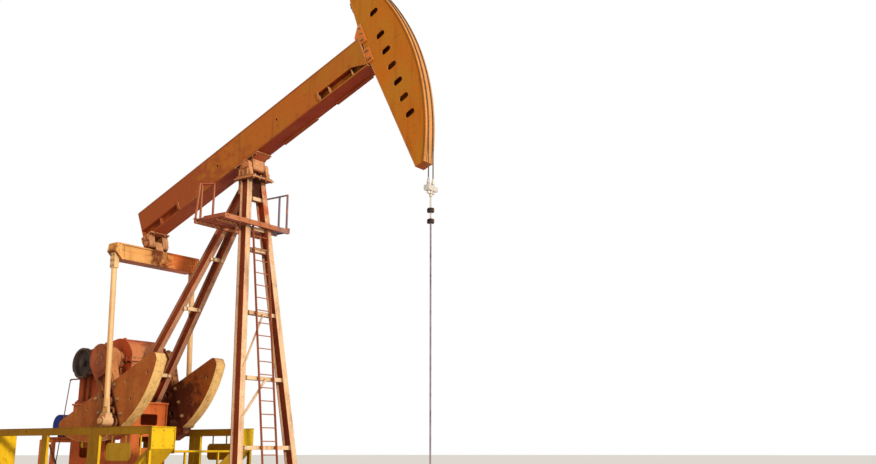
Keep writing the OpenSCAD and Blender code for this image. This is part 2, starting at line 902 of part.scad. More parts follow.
module brake_drum() {
  color("black") difference() {
    union() {
      difference() {
        rod_y(-fast_x, fast_z, drum_r, -belt_y - 50, -belt_y + 60);
        rod_y(-fast_x, fast_z, drum_r - 30, -belt_y - 90, -belt_y + 36);
      }
      rod_y(-fast_x, fast_z, 80, -belt_y - 50, -belt_y + 60);
    }
    rod_y(-fast_x, fast_z, 45 + seat, -belt_y - 100, -belt_y + 100);
  }
}

module brake_gear() {
  r = drum_r + 6;
  color("dimgray") {
    // band round the drum, open at the back
    slab(-belt_y - 46, -belt_y + 46) difference() {
      translate([-fast_x, fast_z]) circle(r = r + 14, $fn = 96);
      translate([-fast_x, fast_z]) circle(r = r, $fn = 96);
      translate([-fast_x - r - 60, fast_z - r + 20]) square([160, 130]);
    }
    // bracket to the case
    difference() {
      union() {
        box(-fast_x + r - 60, -fast_x + r + 70, -belt_y - 40, -case_hw, fast_z - 260, fast_z - 200);
        box(-fast_x + r - 66, -fast_x + r + 10, -belt_y - 40, -belt_y + 40, fast_z - 260, fast_z - 130);
      }
      rod_y(-fast_x, fast_z, r + 4, -belt_y - 200, 0);
    }
    // lever, its hook and the rod down to the hand lever on the skid
    slab(-belt_y - 30, -belt_y - 10) polygon([
      [-fast_x - 190, fast_z - r - 34], [-fast_x - 40, fast_z - r - 34], [-fast_x - 40, fast_z - r - 4],
      [-fast_x - 390, fast_z - r - 4], [-fast_x - 430, fast_z - r - 44], [-fast_x - 400, fast_z - r - 54],
      [-fast_x - 380, fast_z - r - 34]
    ]);
    strut([-fast_x - 410, -belt_y - 20, fast_z - r - 50], [-fast_x - 700, -belt_y - 20, 900]) circle(r = 11, $fn = 12);
    slab(-belt_y - 32, -belt_y - 8) polygon([
      [-fast_x - 730, skid_d], [-fast_x - 560, skid_d], [-fast_x - 640, skid_d + 120],
      [-fast_x - 680, 930], [-fast_x - 980, 1350], [-fast_x - 1010, 1330], [-fast_x - 725, 900],
      [-fast_x - 700, skid_d + 120]
    ]);
    box(-fast_x - 760, -fast_x - 530, -belt_y - 60, -skid_y + 100, skid_d, skid_d + 16);
  }
}

// where the belts leave a wheel
module belt_hull(grow) {
  dx = motor_x - fast_x;
  dz = motor_z - fast_z;
  l = sqrt(dx * dx + dz * dz);
  a = atan2(dz, -dx);
  b = acos((sheave_r - pulley_r) / l);
  r1 = sheave_r + seat + grow;
  r2 = pulley_r + seat + grow;
  translate([-fast_x, fast_z]) circle(r = r1, $fn = 120);
  translate([-motor_x, motor_z]) circle(r = r2, $fn = 60);
  polygon([
    [-fast_x + r1 * cos(a + b), fast_z + r1 * sin(a + b)],
    [-motor_x + r2 * cos(a + b), motor_z + r2 * sin(a + b)],
    [-motor_x + r2 * cos(a - b), motor_z + r2 * sin(a - b)],
    [-fast_x + r1 * cos(a - b), fast_z + r1 * sin(a - b)]
  ]);
}

module drive_belts() {
  color("black") {
    for (k = [0:3]) {
      y = belt_y - 62 + k * 32;
      slab(y, y + 22) difference() {
        belt_hull(16);
        belt_hull(0);
      }
    }
    // the belts share one web so that they stay one loop
    slab(belt_y - 62, belt_y + 56) difference() {
      belt_hull(8);
      belt_hull(2);
    }
  }
}

module motor_pulley() {
  color("gray") {
    rod_y(-motor_x, motor_z, pulley_r, belt_y - 70, belt_y + 64);
    rod_y(-motor_x, motor_z, 30, belt_y - 190, belt_y - 70);
  }
}

motor_r = 250;

module motor_case() {
  y0 = -180;
  y1 = belt_y - 130;
  color("royalblue") {
    difference() {
      union() {
        rod_y(-motor_x, motor_z, motor_r - 22, y0 + 60, y1);
        rod_y(-motor_x, motor_z, motor_r, y1 - 60, y1 - 20);
        rod_y(-motor_x, motor_z, motor_r - 6, y0, y0 + 170);
        for (k = [0:17]) {
          translate([-motor_x, 0, motor_z]) rotate([0, 20 * k, 0]) box(motor_r - 40, motor_r, y0 + 200, y1 - 90, -6, 6);
        }
        box(-motor_x - 210, -motor_x + 210, y0 + 130, y1 - 60, motor_z - 280, motor_z - 190);
        box(-motor_x + 150, -motor_x + 330, -60, 160, motor_z - 10, motor_z + 130);
      }
      rod_y(-motor_x, motor_z, 30 + gap, y1 - 70, y1 + 10);
    }
  }
}

module motor_stand() {
  top = motor_z - 280 - seat;
  color("darkorange") {
    for (x = [-motor_x - 230, -motor_x + 150]) {
      box(x, x + 80, -330, 560, top - 60, top);
    }
    for (x = [-motor_x - 260, -motor_x + 180]) {
      for (y = [-480, 400]) {
        box(x, x + 80, y, y + 80, skid_d, top - 60);
      }
    }
    for (y = [-480, 400]) {
      box(-motor_x - 260, -motor_x + 260, y, y + 80, top - 120, top - 60);
      box(-motor_x - 260, -motor_x + 260, y, y + 80, skid_d, skid_d + 60);
    }
    for (x = [-motor_x - 260, -motor_x + 180]) {
      box(x, x + 80, -480, 480, top - 120, top - 60);
    }
  }
}

// guards

function chamfer_x(z) = guard_front - (guard_z - 440 - z) * 1.25;

module guard_side_shape() {
  polygon([
    [guard_rear, skid_d + 100], [chamfer_x(skid_d + 100), skid_d + 100], [guard_front, guard_z - 440],
    [guard_front, guard_z], [guard_rear, guard_z]
  ]);
}

module guard_window(x0, x1, cut) {
  z0 = skid_d + 190;
  z1 = guard_z - 150;
  if (cut) {
    polygon([
      [x0, z0], [chamfer_x(z0) - 110, z0], [x1, guard_z - 420], [x1, z1], [x0, z1]
    ]);
  } else {
    polygon([[x0, z0], [x1, z0], [x1, z1], [x0, z1]]);
  }
}

module guard_body() {
  t = 60;
  // side frame with three windows
  slab(-guard_y, -guard_y + t) difference() {
    guard_side_shape();
    guard_window(guard_rear + 100, -4780, false);
    guard_window(-4580, -3130, false);
    guard_window(-2760, guard_front - 90, true);
    translate([-2955, skid_d + 190]) square([20, guard_z - 340 - skid_d]);
  }
  // folded end sheet, upright above and sloping below
  box(guard_front - 6, guard_front, -guard_y, -800, guard_z - 440, guard_z);
  slab(-guard_y, -800) polygon([
    [guard_front - 6, guard_z - 436], [guard_front, guard_z - 440],
    [chamfer_x(skid_d + 100), skid_d + 100], [chamfer_x(skid_d + 100) - 10, skid_d + 100]
  ]);
  box(guard_front - 60, guard_front, -guard_y, -800, guard_z - 40, guard_z);
  // rear end sheet
  box(guard_rear, guard_rear + 6, -guard_y, -800, skid_d + 100, guard_z);
  // feet on the outriggers
  box(rear_mid - 80, rear_mid + 80, -guard_y, -guard_y + t, skid_d, skid_d + 110);
  box(front_mid - 40, front_mid + 40, -guard_y, -guard_y + t, skid_d, guard_z - 430);
}

module guard_near() {
  color("gold") guard_body();
}

module guard_far() {
  color("gold") mirror([0, 1, 0]) guard_body();
}

module guard_plates() {
  x0 = -2540;
  x1 = -1740;
  color("olive") both() {
    slab(-guard_y + 20, -guard_y + 26) polygon([
      [x0 + 60, 1000], [x1 - 60, 1000], [x1, 1060], [x1, 1300], [x1 - 60, 1360],
      [x0 + 60, 1360], [x0, 1300], [x0, 1060]
    ]);
    for (x = [x0 + 160, x1 - 200]) {
      box(x, x + 40, -guard_y + 26, -guard_y + 32, 1010, guard_z - 150);
    }
  }
}

module front_rail() {
  z = 1190;
  color("gold") {
    rod_y(front_mid, z, 24, -790, 790, $fn = 12);
    for (y = [-450, 450]) {
      box(front_mid - 20, front_mid + 20, y - 20, y + 20, skid_d, z);
    }
    both() box(front_mid - 30, guard_front - 3, -800, -788, z - 40, z + 56);
  }
}

// hanging parts

module bridle_hang() {
  color("dimgray") both() {
    translate([rope_x, -rope_y, carrier_z + 50]) cylinder(h = pivot_h - carrier_z - 50, r = rope_r, $fn = 24);
  }
}

module carrier_bar() {
  color("lightgray") {
    box(rope_x - 60, rope_x + 60, -140, 140, carrier_z - 110, carrier_z - 10);
    both() translate([rope_x, -rope_y, carrier_z - 150]) cylinder(h = 200, r = 28, $fn = 24);
    translate([rope_x, 0, carrier_z - 160]) cylinder(h = 150, r = 45, $fn = 24);
    translate([rope_x, 0, hanger_z]) cylinder(h = carrier_z - hanger_z, r = 17, $fn = 24);
  }
}

module rod_clamps() {
  color("black") {
    for (z = [hanger_z + 60, hanger_z + 270]) {
      translate([rope_x, 0, z - 40]) difference() {
        cylinder(h = 80, r = 60, $fn = 32);
        translate([0, 0, -10]) cylinder(h = 100, r = 17 + seat, $fn = 24);
      }
    }
  }
}

module rod_line() {
  color("silver") translate([rope_x, 0, rod_end]) cylinder(h = hanger_z - rod_end, r = 16, $fn = 24);
}

skid_rails();
skid_cross();
gear_stand();
gearbox_case();
front_leg_near();
front_leg_far();
front_braces();
rear_leg_near();
rear_leg_far();
rear_braces();
post_cap();
saddle_base();
deck_frame();
deck_rails();
ladder();
motor_case();
motor_stand();
drive_belts();
brake_gear();
guard_near();
guard_far();
guard_plates();
front_rail();
walking_beam();
saddle_shaft();
head_sides();
head_rim();
head_brackets();
tail_housings();
bridle_wrap();
equalizer_beam();
tail_pin();
pitman_arms();
wrist_housings();
crank_arms();
slow_shaft();
crank_weights();
belt_sheave();
brake_drum();
motor_pulley();
bridle_hang();
carrier_bar();
rod_clamps();
rod_line();
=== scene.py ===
import bpy, bmesh, json
from math import radians, degrees, sin, cos, pi, sqrt, atan2
from mathutils import Vector, Matrix


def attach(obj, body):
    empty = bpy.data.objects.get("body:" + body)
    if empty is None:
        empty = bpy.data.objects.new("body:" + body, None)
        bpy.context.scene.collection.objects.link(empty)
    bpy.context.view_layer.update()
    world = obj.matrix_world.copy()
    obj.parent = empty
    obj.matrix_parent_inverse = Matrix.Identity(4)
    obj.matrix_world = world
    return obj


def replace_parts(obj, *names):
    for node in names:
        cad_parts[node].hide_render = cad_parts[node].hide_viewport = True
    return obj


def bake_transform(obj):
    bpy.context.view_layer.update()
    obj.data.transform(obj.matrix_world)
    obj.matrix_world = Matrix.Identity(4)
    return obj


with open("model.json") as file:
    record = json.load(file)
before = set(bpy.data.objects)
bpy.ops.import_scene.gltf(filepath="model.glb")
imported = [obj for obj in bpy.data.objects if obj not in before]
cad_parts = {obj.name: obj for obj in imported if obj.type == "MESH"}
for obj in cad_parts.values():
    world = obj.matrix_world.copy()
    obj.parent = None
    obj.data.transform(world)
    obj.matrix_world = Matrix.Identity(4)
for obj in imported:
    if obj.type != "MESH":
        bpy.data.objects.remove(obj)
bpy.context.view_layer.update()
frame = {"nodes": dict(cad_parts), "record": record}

# Sizes of the unit in metres, the same as in the part's source.
PIVOT_H = 7.2
BEAM_RISE = radians(22.5)
BEAM_D, BEAM_W, BEAM_SEAT = 0.70, 0.40, 0.17
TAIL_REACH, BEAM_TAIL = 3.40, 3.54
HEAD_R, HEAD_DEPTH, HEAD_W = 4.67, 1.04, 0.305
BEAM_NOSE = HEAD_R - HEAD_DEPTH - 0.02
HEAD_BACK = HEAD_R - HEAD_DEPTH
CRANK_X, CRANK_Z, CRANK_R = 3.6, 3.18, 1.50
CRANK_TURN = radians(65.3)
CRANK_Y, CRANK_T, WEIGHT_T = 0.83, 0.22, 0.26
CASE_HW = 0.45
STAND_Z = CRANK_Z - 0.92
FAST_X, FAST_Z = CRANK_X + 1.02, CRANK_Z - 0.02
MOTOR_X, MOTOR_Z, MOTOR_R = 6.0, 1.8, 0.25
WRIST_R, WRIST_H = 0.105, 0.135
CAP_Z = PIVOT_H - 0.27
LEG_TOP = CAP_Z - 0.03
SKID_D = 0.30
FOOT_X, FOOT_Y = 0.726, 0.83
REAR_FOOT_X, REAR_FOOT_Y = -CRANK_X + 0.366, 0.352
PITMAN_Y = 1.112
WRIST_IN = 0.972
WRIST_OUT = 2 * PITMAN_Y - WRIST_IN
GUARD_Y, GUARD_Z = 1.40, 1.68
DECK_Z = PIVOT_H - 1.28
ROPE_X = HEAD_R + 0.0133
PIN = Vector((-TAIL_REACH * cos(BEAM_RISE) + 0.06 * sin(BEAM_RISE), 0, PIVOT_H - TAIL_REACH * sin(BEAM_RISE) - 0.06 * cos(BEAM_RISE)))
WRIST = Vector((-CRANK_X + CRANK_R * cos(CRANK_TURN), 0, CRANK_Z - CRANK_R * sin(CRANK_TURN)))
PITMAN_L = (PIN - WRIST).length
PITMAN_A = atan2(WRIST.x - PIN.x, PIN.z - WRIST.z)
EQ_TOP, EQ_D, EQ_HW = -0.135, 0.37, 0.15

IN_BEAM = Matrix.Translation((0, 0, PIVOT_H)) @ Matrix.Rotation(-BEAM_RISE, 4, "Y")
IN_CRANK = Matrix.Translation((-CRANK_X, 0, CRANK_Z)) @ Matrix.Rotation(CRANK_TURN, 4, "Y")
IN_PITMAN = Matrix.Translation(PIN) @ Matrix.Rotation(-PITMAN_A, 4, "Y")


# Camera at the photograph's viewing angle.

def place_camera():
    data = bpy.data.cameras.new("photo_view")
    camera = bpy.data.objects.new("photo_view", data)
    bpy.context.scene.collection.objects.link(camera)
    camera.location = (14.48, -13.99, 1.20)
    camera.rotation_euler = (radians(90 + 13.041), 0, radians(34.546))
    data.sensor_width = 36
    data.lens = 944.99 / 876 * 36
    data.clip_end = 600
    bpy.context.scene.camera = camera


place_camera()


# Materials.

def linear(rgb):
    out = []
    for v in rgb:
        v = v / 255
        out.append(v / 12.92 if v <= 0.04045 else ((v + 0.055) / 1.055) ** 2.4)
    return (*out, 1)


class Tree:
    """Short ways to add nodes to a material's tree."""

    def __init__(self, name):
        self.material = bpy.data.materials.new(name)
        self.material.use_nodes = True
        self.tree = self.material.node_tree
        self.shader = self.tree.nodes["Principled BSDF"]
        coordinates = self.tree.nodes.new("ShaderNodeTexCoord")
        self.place = coordinates.outputs["Object"]
        self.normal = coordinates.outputs["Normal"]

    def link(self, a, b):
        self.tree.links.new(a, b)

    def set(self, socket, value):
        if isinstance(value, bpy.types.NodeSocket):
            self.link(value, socket)
        else:
            socket.default_value = value

    def math(self, kind, a, b=0.5, c=0.5):
        node = self.tree.nodes.new("ShaderNodeMath")
        node.operation = kind
        for i, v in enumerate((a, b, c)):
            self.set(node.inputs[i], v)
        return node.outputs[0]

    def vector(self, kind, a, b=(0, 0, 0)):
        node = self.tree.nodes.new("ShaderNodeVectorMath")
        node.operation = kind
        self.set(node.inputs[0], a)
        self.set(node.inputs[1], b)
        return node.outputs["Value" if kind in ("DOT_PRODUCT", "DISTANCE", "LENGTH") else "Vector"]

    def stretched(self, scale, turn=(0, 0, 0)):
        node = self.tree.nodes.new("ShaderNodeMapping")
        self.link(self.place, node.inputs["Vector"])
        node.inputs["Scale"].default_value = scale
        node.inputs["Rotation"].default_value = turn
        return node.outputs[0]

    def noise(self, scale, detail=4.0, rough=0.6, place=None):
        node = self.tree.nodes.new("ShaderNodeTexNoise")
        self.link(place or self.place, node.inputs["Vector"])
        node.inputs["Scale"].default_value = scale
        node.inputs["Detail"].default_value = detail
        node.inputs["Roughness"].default_value = rough
        return node.outputs["Fac"]

    def step(self, value, low, high, out_low=0.0, out_high=1.0):
        node = self.tree.nodes.new("ShaderNodeMapRange")
        node.interpolation_type = "SMOOTHSTEP"
        self.link(value, node.inputs["Value"])
        node.inputs["From Min"].default_value = low
        node.inputs["From Max"].default_value = high
        node.inputs["To Min"].default_value = out_low
        node.inputs["To Max"].default_value = out_high
        return node.outputs["Result"]

    def mix(self, share, a, b, kind="MIX"):
        node = self.tree.nodes.new("ShaderNodeMix")
        node.data_type = "RGBA"
        node.blend_type = kind
        self.set(node.inputs["Factor"], share)
        self.set(node.inputs[6], a)
        self.set(node.inputs[7], b)
        return node.outputs[2]

    def facing(self, way, low, high):
        """1 where the piece's own surface looks that way, as it stands at rest"""
        return self.step(self.vector("DOT_PRODUCT", self.normal, way), low, high)

    def stain_and_shade(self, col, stain_and_shade_patches):
        """Patches round places on the piece, old grease at some and painted shade at others: (place, reach, colour)"""
        for place, reach, tone in stain_and_shade_patches:
            ragged = self.step(self.noise(4, 5, 0.7), 0.2, 0.8, -0.5 * reach, 0.5 * reach)
            near = self.math("ADD", self.vector("DISTANCE", self.place, place), ragged)
            col = self.mix(self.step(near, 0.35 * reach, reach, 0.9, 0.0), col, linear(tone))
        return col

    def edges(self, radius, low=0.03, high=0.25):
        """1 along sharp edges, from the difference of the rounded and the true normal"""
        bevel = self.tree.nodes.new("ShaderNodeBevel")
        bevel.samples = 3
        bevel.inputs["Radius"].default_value = radius
        geometry = self.tree.nodes.new("ShaderNodeNewGeometry")
        dot = self.vector("DOT_PRODUCT", bevel.outputs["Normal"], geometry.outputs["Normal"])
        return self.step(self.math("SUBTRACT", 1.0, dot), low, high)

    def hollows(self, reach):
        """1 in corners and recesses, where the paints lay soot with painted shade"""
        node = self.tree.nodes.new("ShaderNodeAmbientOcclusion")
        node.samples = 3
        node.inputs["Distance"].default_value = reach
        return self.step(node.outputs["AO"], 0.25, 0.85, 1.0, 0.0)

    def bump(self, height, strength, distance):
        node = self.tree.nodes.new("ShaderNodeBump")
        node.inputs["Strength"].default_value = strength
        node.inputs["Distance"].default_value = distance
        self.link(height, node.inputs["Height"])
        soft = self.tree.nodes.new("ShaderNodeBevel")
        soft.samples = 3
        soft.inputs["Radius"].default_value = 0.005
        self.link(soft.outputs["Normal"], node.inputs["Normal"])
        self.link(node.outputs["Normal"], self.shader.inputs["Normal"])


RUST = (112, 52, 30)
SOOT_AND_SHADE = (40, 26, 22)


def worn_paint(name, colour, faded, rust=RUST, wear=0.5, corner_soot_and_shade=0.5, rough=0.55, streak=0.5, grain=1.0,
               sunlit_highlight=(240, 196, 142), sunlit_highlight_share=0.6, underside_shading=(136, 36, 18), underside_shading_share=0.8, sunlit_highlight_from=0.45, stain_and_shade_patches=()):
    """Old paint with streaks, rust at the edges, painted highlight on the faces towards the key light, painted shading
    on the undersides, and soot with painted shade in corners.
    """
    t = Tree(name)
    patches = t.step(t.noise(0.9, 5, 0.62), 0.36, 0.66)
    col = t.mix(patches, linear(colour), linear(faded))
    cloud = t.noise(2.3, 6, 0.66)
    # painted highlight: faces that look towards the key light get a lighter paint, as if sunlit
    painted_sunlight = t.math("MULTIPLY", t.facing((0.985, -0.05, 0.16), sunlit_highlight_from, sunlit_highlight_from + 0.45), t.step(cloud, 0.3, 0.62, 0.72, 1.0))
    col = t.mix(t.math("MULTIPLY", painted_sunlight, sunlit_highlight_share), col, linear(sunlit_highlight))
    # painted shade on the faces that look down, a painted light where the underside colour is lighter
    underside_shade = t.math("MULTIPLY", t.facing((0, 0, -1), 0.35, 0.85), t.step(cloud, 0.32, 0.66, 1.0, 0.86))
    col = t.mix(t.math("MULTIPLY", underside_shade, underside_shading_share), col, linear(underside_shading))
    runs = t.step(t.noise(3.0, 6, 0.7, t.stretched((1.6, 1.6, 0.16))), 0.5, 0.74)
    col = t.mix(t.math("MULTIPLY", runs, streak), col, linear([0.66 * v for v in colour]))
    spots = t.step(t.noise(5.5 * grain, 9, 0.74), 0.56, 0.67)
    fine = t.noise(38 * grain, 4, 0.6)
    col = t.mix(t.math("MULTIPLY", spots, wear), col, linear(rust))
    rim = t.math("MULTIPLY", t.edges(0.014), t.step(t.noise(9 * grain, 6, 0.7), 0.4, 0.62))
    col = t.mix(t.math("MULTIPLY", rim, min(1.0, 0.55 + wear)), col, linear([0.8 * v for v in rust]))
    # soot with painted shade in corners and recesses
    col = t.mix(t.math("MULTIPLY", t.hollows(0.16), corner_soot_and_shade), col, linear(SOOT_AND_SHADE))
    col = t.stain_and_shade(col, stain_and_shade_patches)
    col = t.mix(t.step(fine, 0.3, 0.75, 0.0, 0.22), col, linear([0.75 * v for v in colour]))
    t.link(col, t.shader.inputs["Base Color"])
    t.link(t.step(t.math("ADD", t.math("MULTIPLY", spots, 0.5), t.math("MULTIPLY", fine, 0.5)), 0.1, 0.9, rough - 0.12, rough + 0.3),
           t.shader.inputs["Roughness"])
    t.bump(t.math("ADD", t.math("MULTIPLY", spots, -0.6), fine), 0.35, 0.004)
    t.shader.inputs["Specular IOR Level"].default_value = 0.08
    return t.material


def cast_iron(name, colour, faded, rough=0.7, corner_soot_and_shade=0.6, metal=0.0, sunlit_highlight=None, sunlit_highlight_share=0.0, stain_and_shade_patches=(), rim=None):
    """Rough casting with a thin old coat, pitted and stained by oil, with patches of painted shade, painted highlight
    on the faces towards the key light and soot with painted shade in hollows; rim is (centre, radius, colour) of a
    painted highlight along an outer edge.
    """
    t = Tree(name)
    cloud = t.noise(1.7, 6, 0.65)
    col = t.mix(t.step(cloud, 0.38, 0.64), linear(colour), linear(faded))
    if sunlit_highlight_share:
        # painted highlight: faces that look towards the key light get a lighter paint, as if sunlit
        painted_sunlight = t.math("MULTIPLY", t.facing((0.985, -0.05, 0.16), 0.45, 0.9), t.step(cloud, 0.3, 0.62, 0.72, 1.0))
        col = t.mix(t.math("MULTIPLY", painted_sunlight, sunlit_highlight_share), col, linear(sunlit_highlight))
    col = t.stain_and_shade(col, stain_and_shade_patches)
    # painted highlight: a light band along the outer edge, where the sun falls
    if rim:
        centre, radius, tone = rim
        flat = t.vector("MULTIPLY", t.vector("SUBTRACT", t.place, centre), (1, 0, 1))
        out = t.step(t.vector("LENGTH", flat), radius - 0.006, radius - 0.003)
        col = t.mix(t.math("MULTIPLY", out, t.step(t.noise(4.5, 7, 0.7), 0.34, 0.5, 0.55, 1.0)), col, linear(tone))
    runs = t.step(t.noise(3.2, 6, 0.7, t.stretched((1.4, 1.4, 0.2))), 0.48, 0.72)
    col = t.mix(t.math("MULTIPLY", runs, 0.45), col, linear([0.6 * v for v in colour]))
    pits = t.noise(95, 3, 0.6)
    lumps = t.noise(14, 6, 0.6)
    col = t.mix(t.step(lumps, 0.5, 0.7, 0.0, 0.4), col, linear([0.7 * v for v in faded]))
    col = t.mix(t.math("MULTIPLY", t.edges(0.012), 0.35), col, linear([min(255, 1.25 * v) for v in faded]))
    # soot with painted shade in hollows
    col = t.mix(t.math("MULTIPLY", t.hollows(0.14), corner_soot_and_shade), col, linear(SOOT_AND_SHADE))
    t.link(col, t.shader.inputs["Base Color"])
    t.shader.inputs["Metallic"].default_value = metal
    t.shader.inputs["Specular IOR Level"].default_value = 0.2
    t.link(t.step(lumps, 0.3, 0.7, rough - 0.12, rough + 0.15), t.shader.inputs["Roughness"])
    t.bump(t.math("ADD", t.math("MULTIPLY", pits, 0.6), lumps), 0.5, 0.005)
    return t.material


def bare_steel(name, colour, rough=0.35, metal=0.85, turned=(0, 0, 60)):
    """Machined steel with fine tool marks, darkened by grease."""
    t = Tree(name)
    col = t.mix(t.step(t.noise(5, 6, 0.7), 0.42, 0.68), linear(colour), linear([0.6 * v for v in colour]))
    col = t.mix(t.step(t.noise(11, 7, 0.75), 0.56, 0.68, 0.0, 0.6), col, linear((92, 58, 38)))
    marks = t.noise(9, 2, 0.5, t.stretched(turned))
    t.link(col, t.shader.inputs["Base Color"])
    t.shader.inputs["Metallic"].default_value = metal
    t.link(t.step(t.noise(18, 5, 0.7), 0.3, 0.75, rough - 0.08, rough + 0.3), t.shader.inputs["Roughness"])
    t.bump(marks, 0.2, 0.001)
    return t.material


def wire_rope(name, colour, lay=0.16):
    """Greased steel rope, its strands drawn as slanting ridges."""
    t = Tree(name)
    wave = t.tree.nodes.new("ShaderNodeTexWave")
    wave.wave_type = "BANDS"
    wave.bands_direction = "DIAGONAL"
    wave.inputs["Scale"].default_value = 6 / lay
    wave.inputs["Distortion"].default_value = 0.4
    t.link(t.place, wave.inputs["Vector"])
    col = t.mix(t.step(wave.outputs["Fac"], 0.15, 0.6), linear([0.45 * v for v in colour]), linear(colour))
    col = t.mix(t.step(t.noise(9, 6, 0.7), 0.5, 0.7, 0.0, 0.7), col, linear((70, 44, 30)))
    t.link(col, t.shader.inputs["Base Color"])
    t.shader.inputs["Metallic"].default_value = 0.5
    t.link(t.step(t.noise(30, 4, 0.6), 0.3, 0.7, 0.4, 0.65), t.shader.inputs["Roughness"])
    t.bump(wave.outputs["Fac"], 0.7, 0.004)
    return t.material


def belt_rubber(name):
    """Matt rubber with worn, dusty faces."""
    t = Tree(name)
    col = t.mix(t.step(t.noise(3, 6, 0.7), 0.4, 0.7), linear((34, 32, 32)), linear((74, 62, 50)))
    t.link(col, t.shader.inputs["Base Color"])
    t.link(t.step(t.noise(40, 3), 0.3, 0.7, 0.6, 0.85), t.shader.inputs["Roughness"])
    t.bump(t.noise(120, 2), 0.3, 0.001)
    return t.material


EQ_MIDDLE = tuple(IN_PITMAN @ Vector((0, 0.06, EQ_TOP - 0.1)))
BEAM_TAIL_MIDDLE = tuple(IN_BEAM @ Vector((-2.8, 0, 0.5)))
HEAD_HINGE = tuple(IN_BEAM @ Vector((BEAM_NOSE, 0, 0.6)))
EQ_RUSTED = tuple(IN_PITMAN @ Vector((EQ_HW, 0.72, EQ_TOP - 0.12)))
# painted shade on the equalizer's near end
EQ_SHADED_END = tuple(IN_PITMAN @ Vector((0, -1.42, EQ_TOP - 0.18)))
# painted shade: dark maroon over the far crank and weight, where the near parts shade them
FAR_SHADE = ((-2.78, 0.7, 2.2), 1.05, (74, 26, 18))
WEIGHT_CENTRE = tuple(IN_CRANK @ Vector((-0.5, 0, 0)))
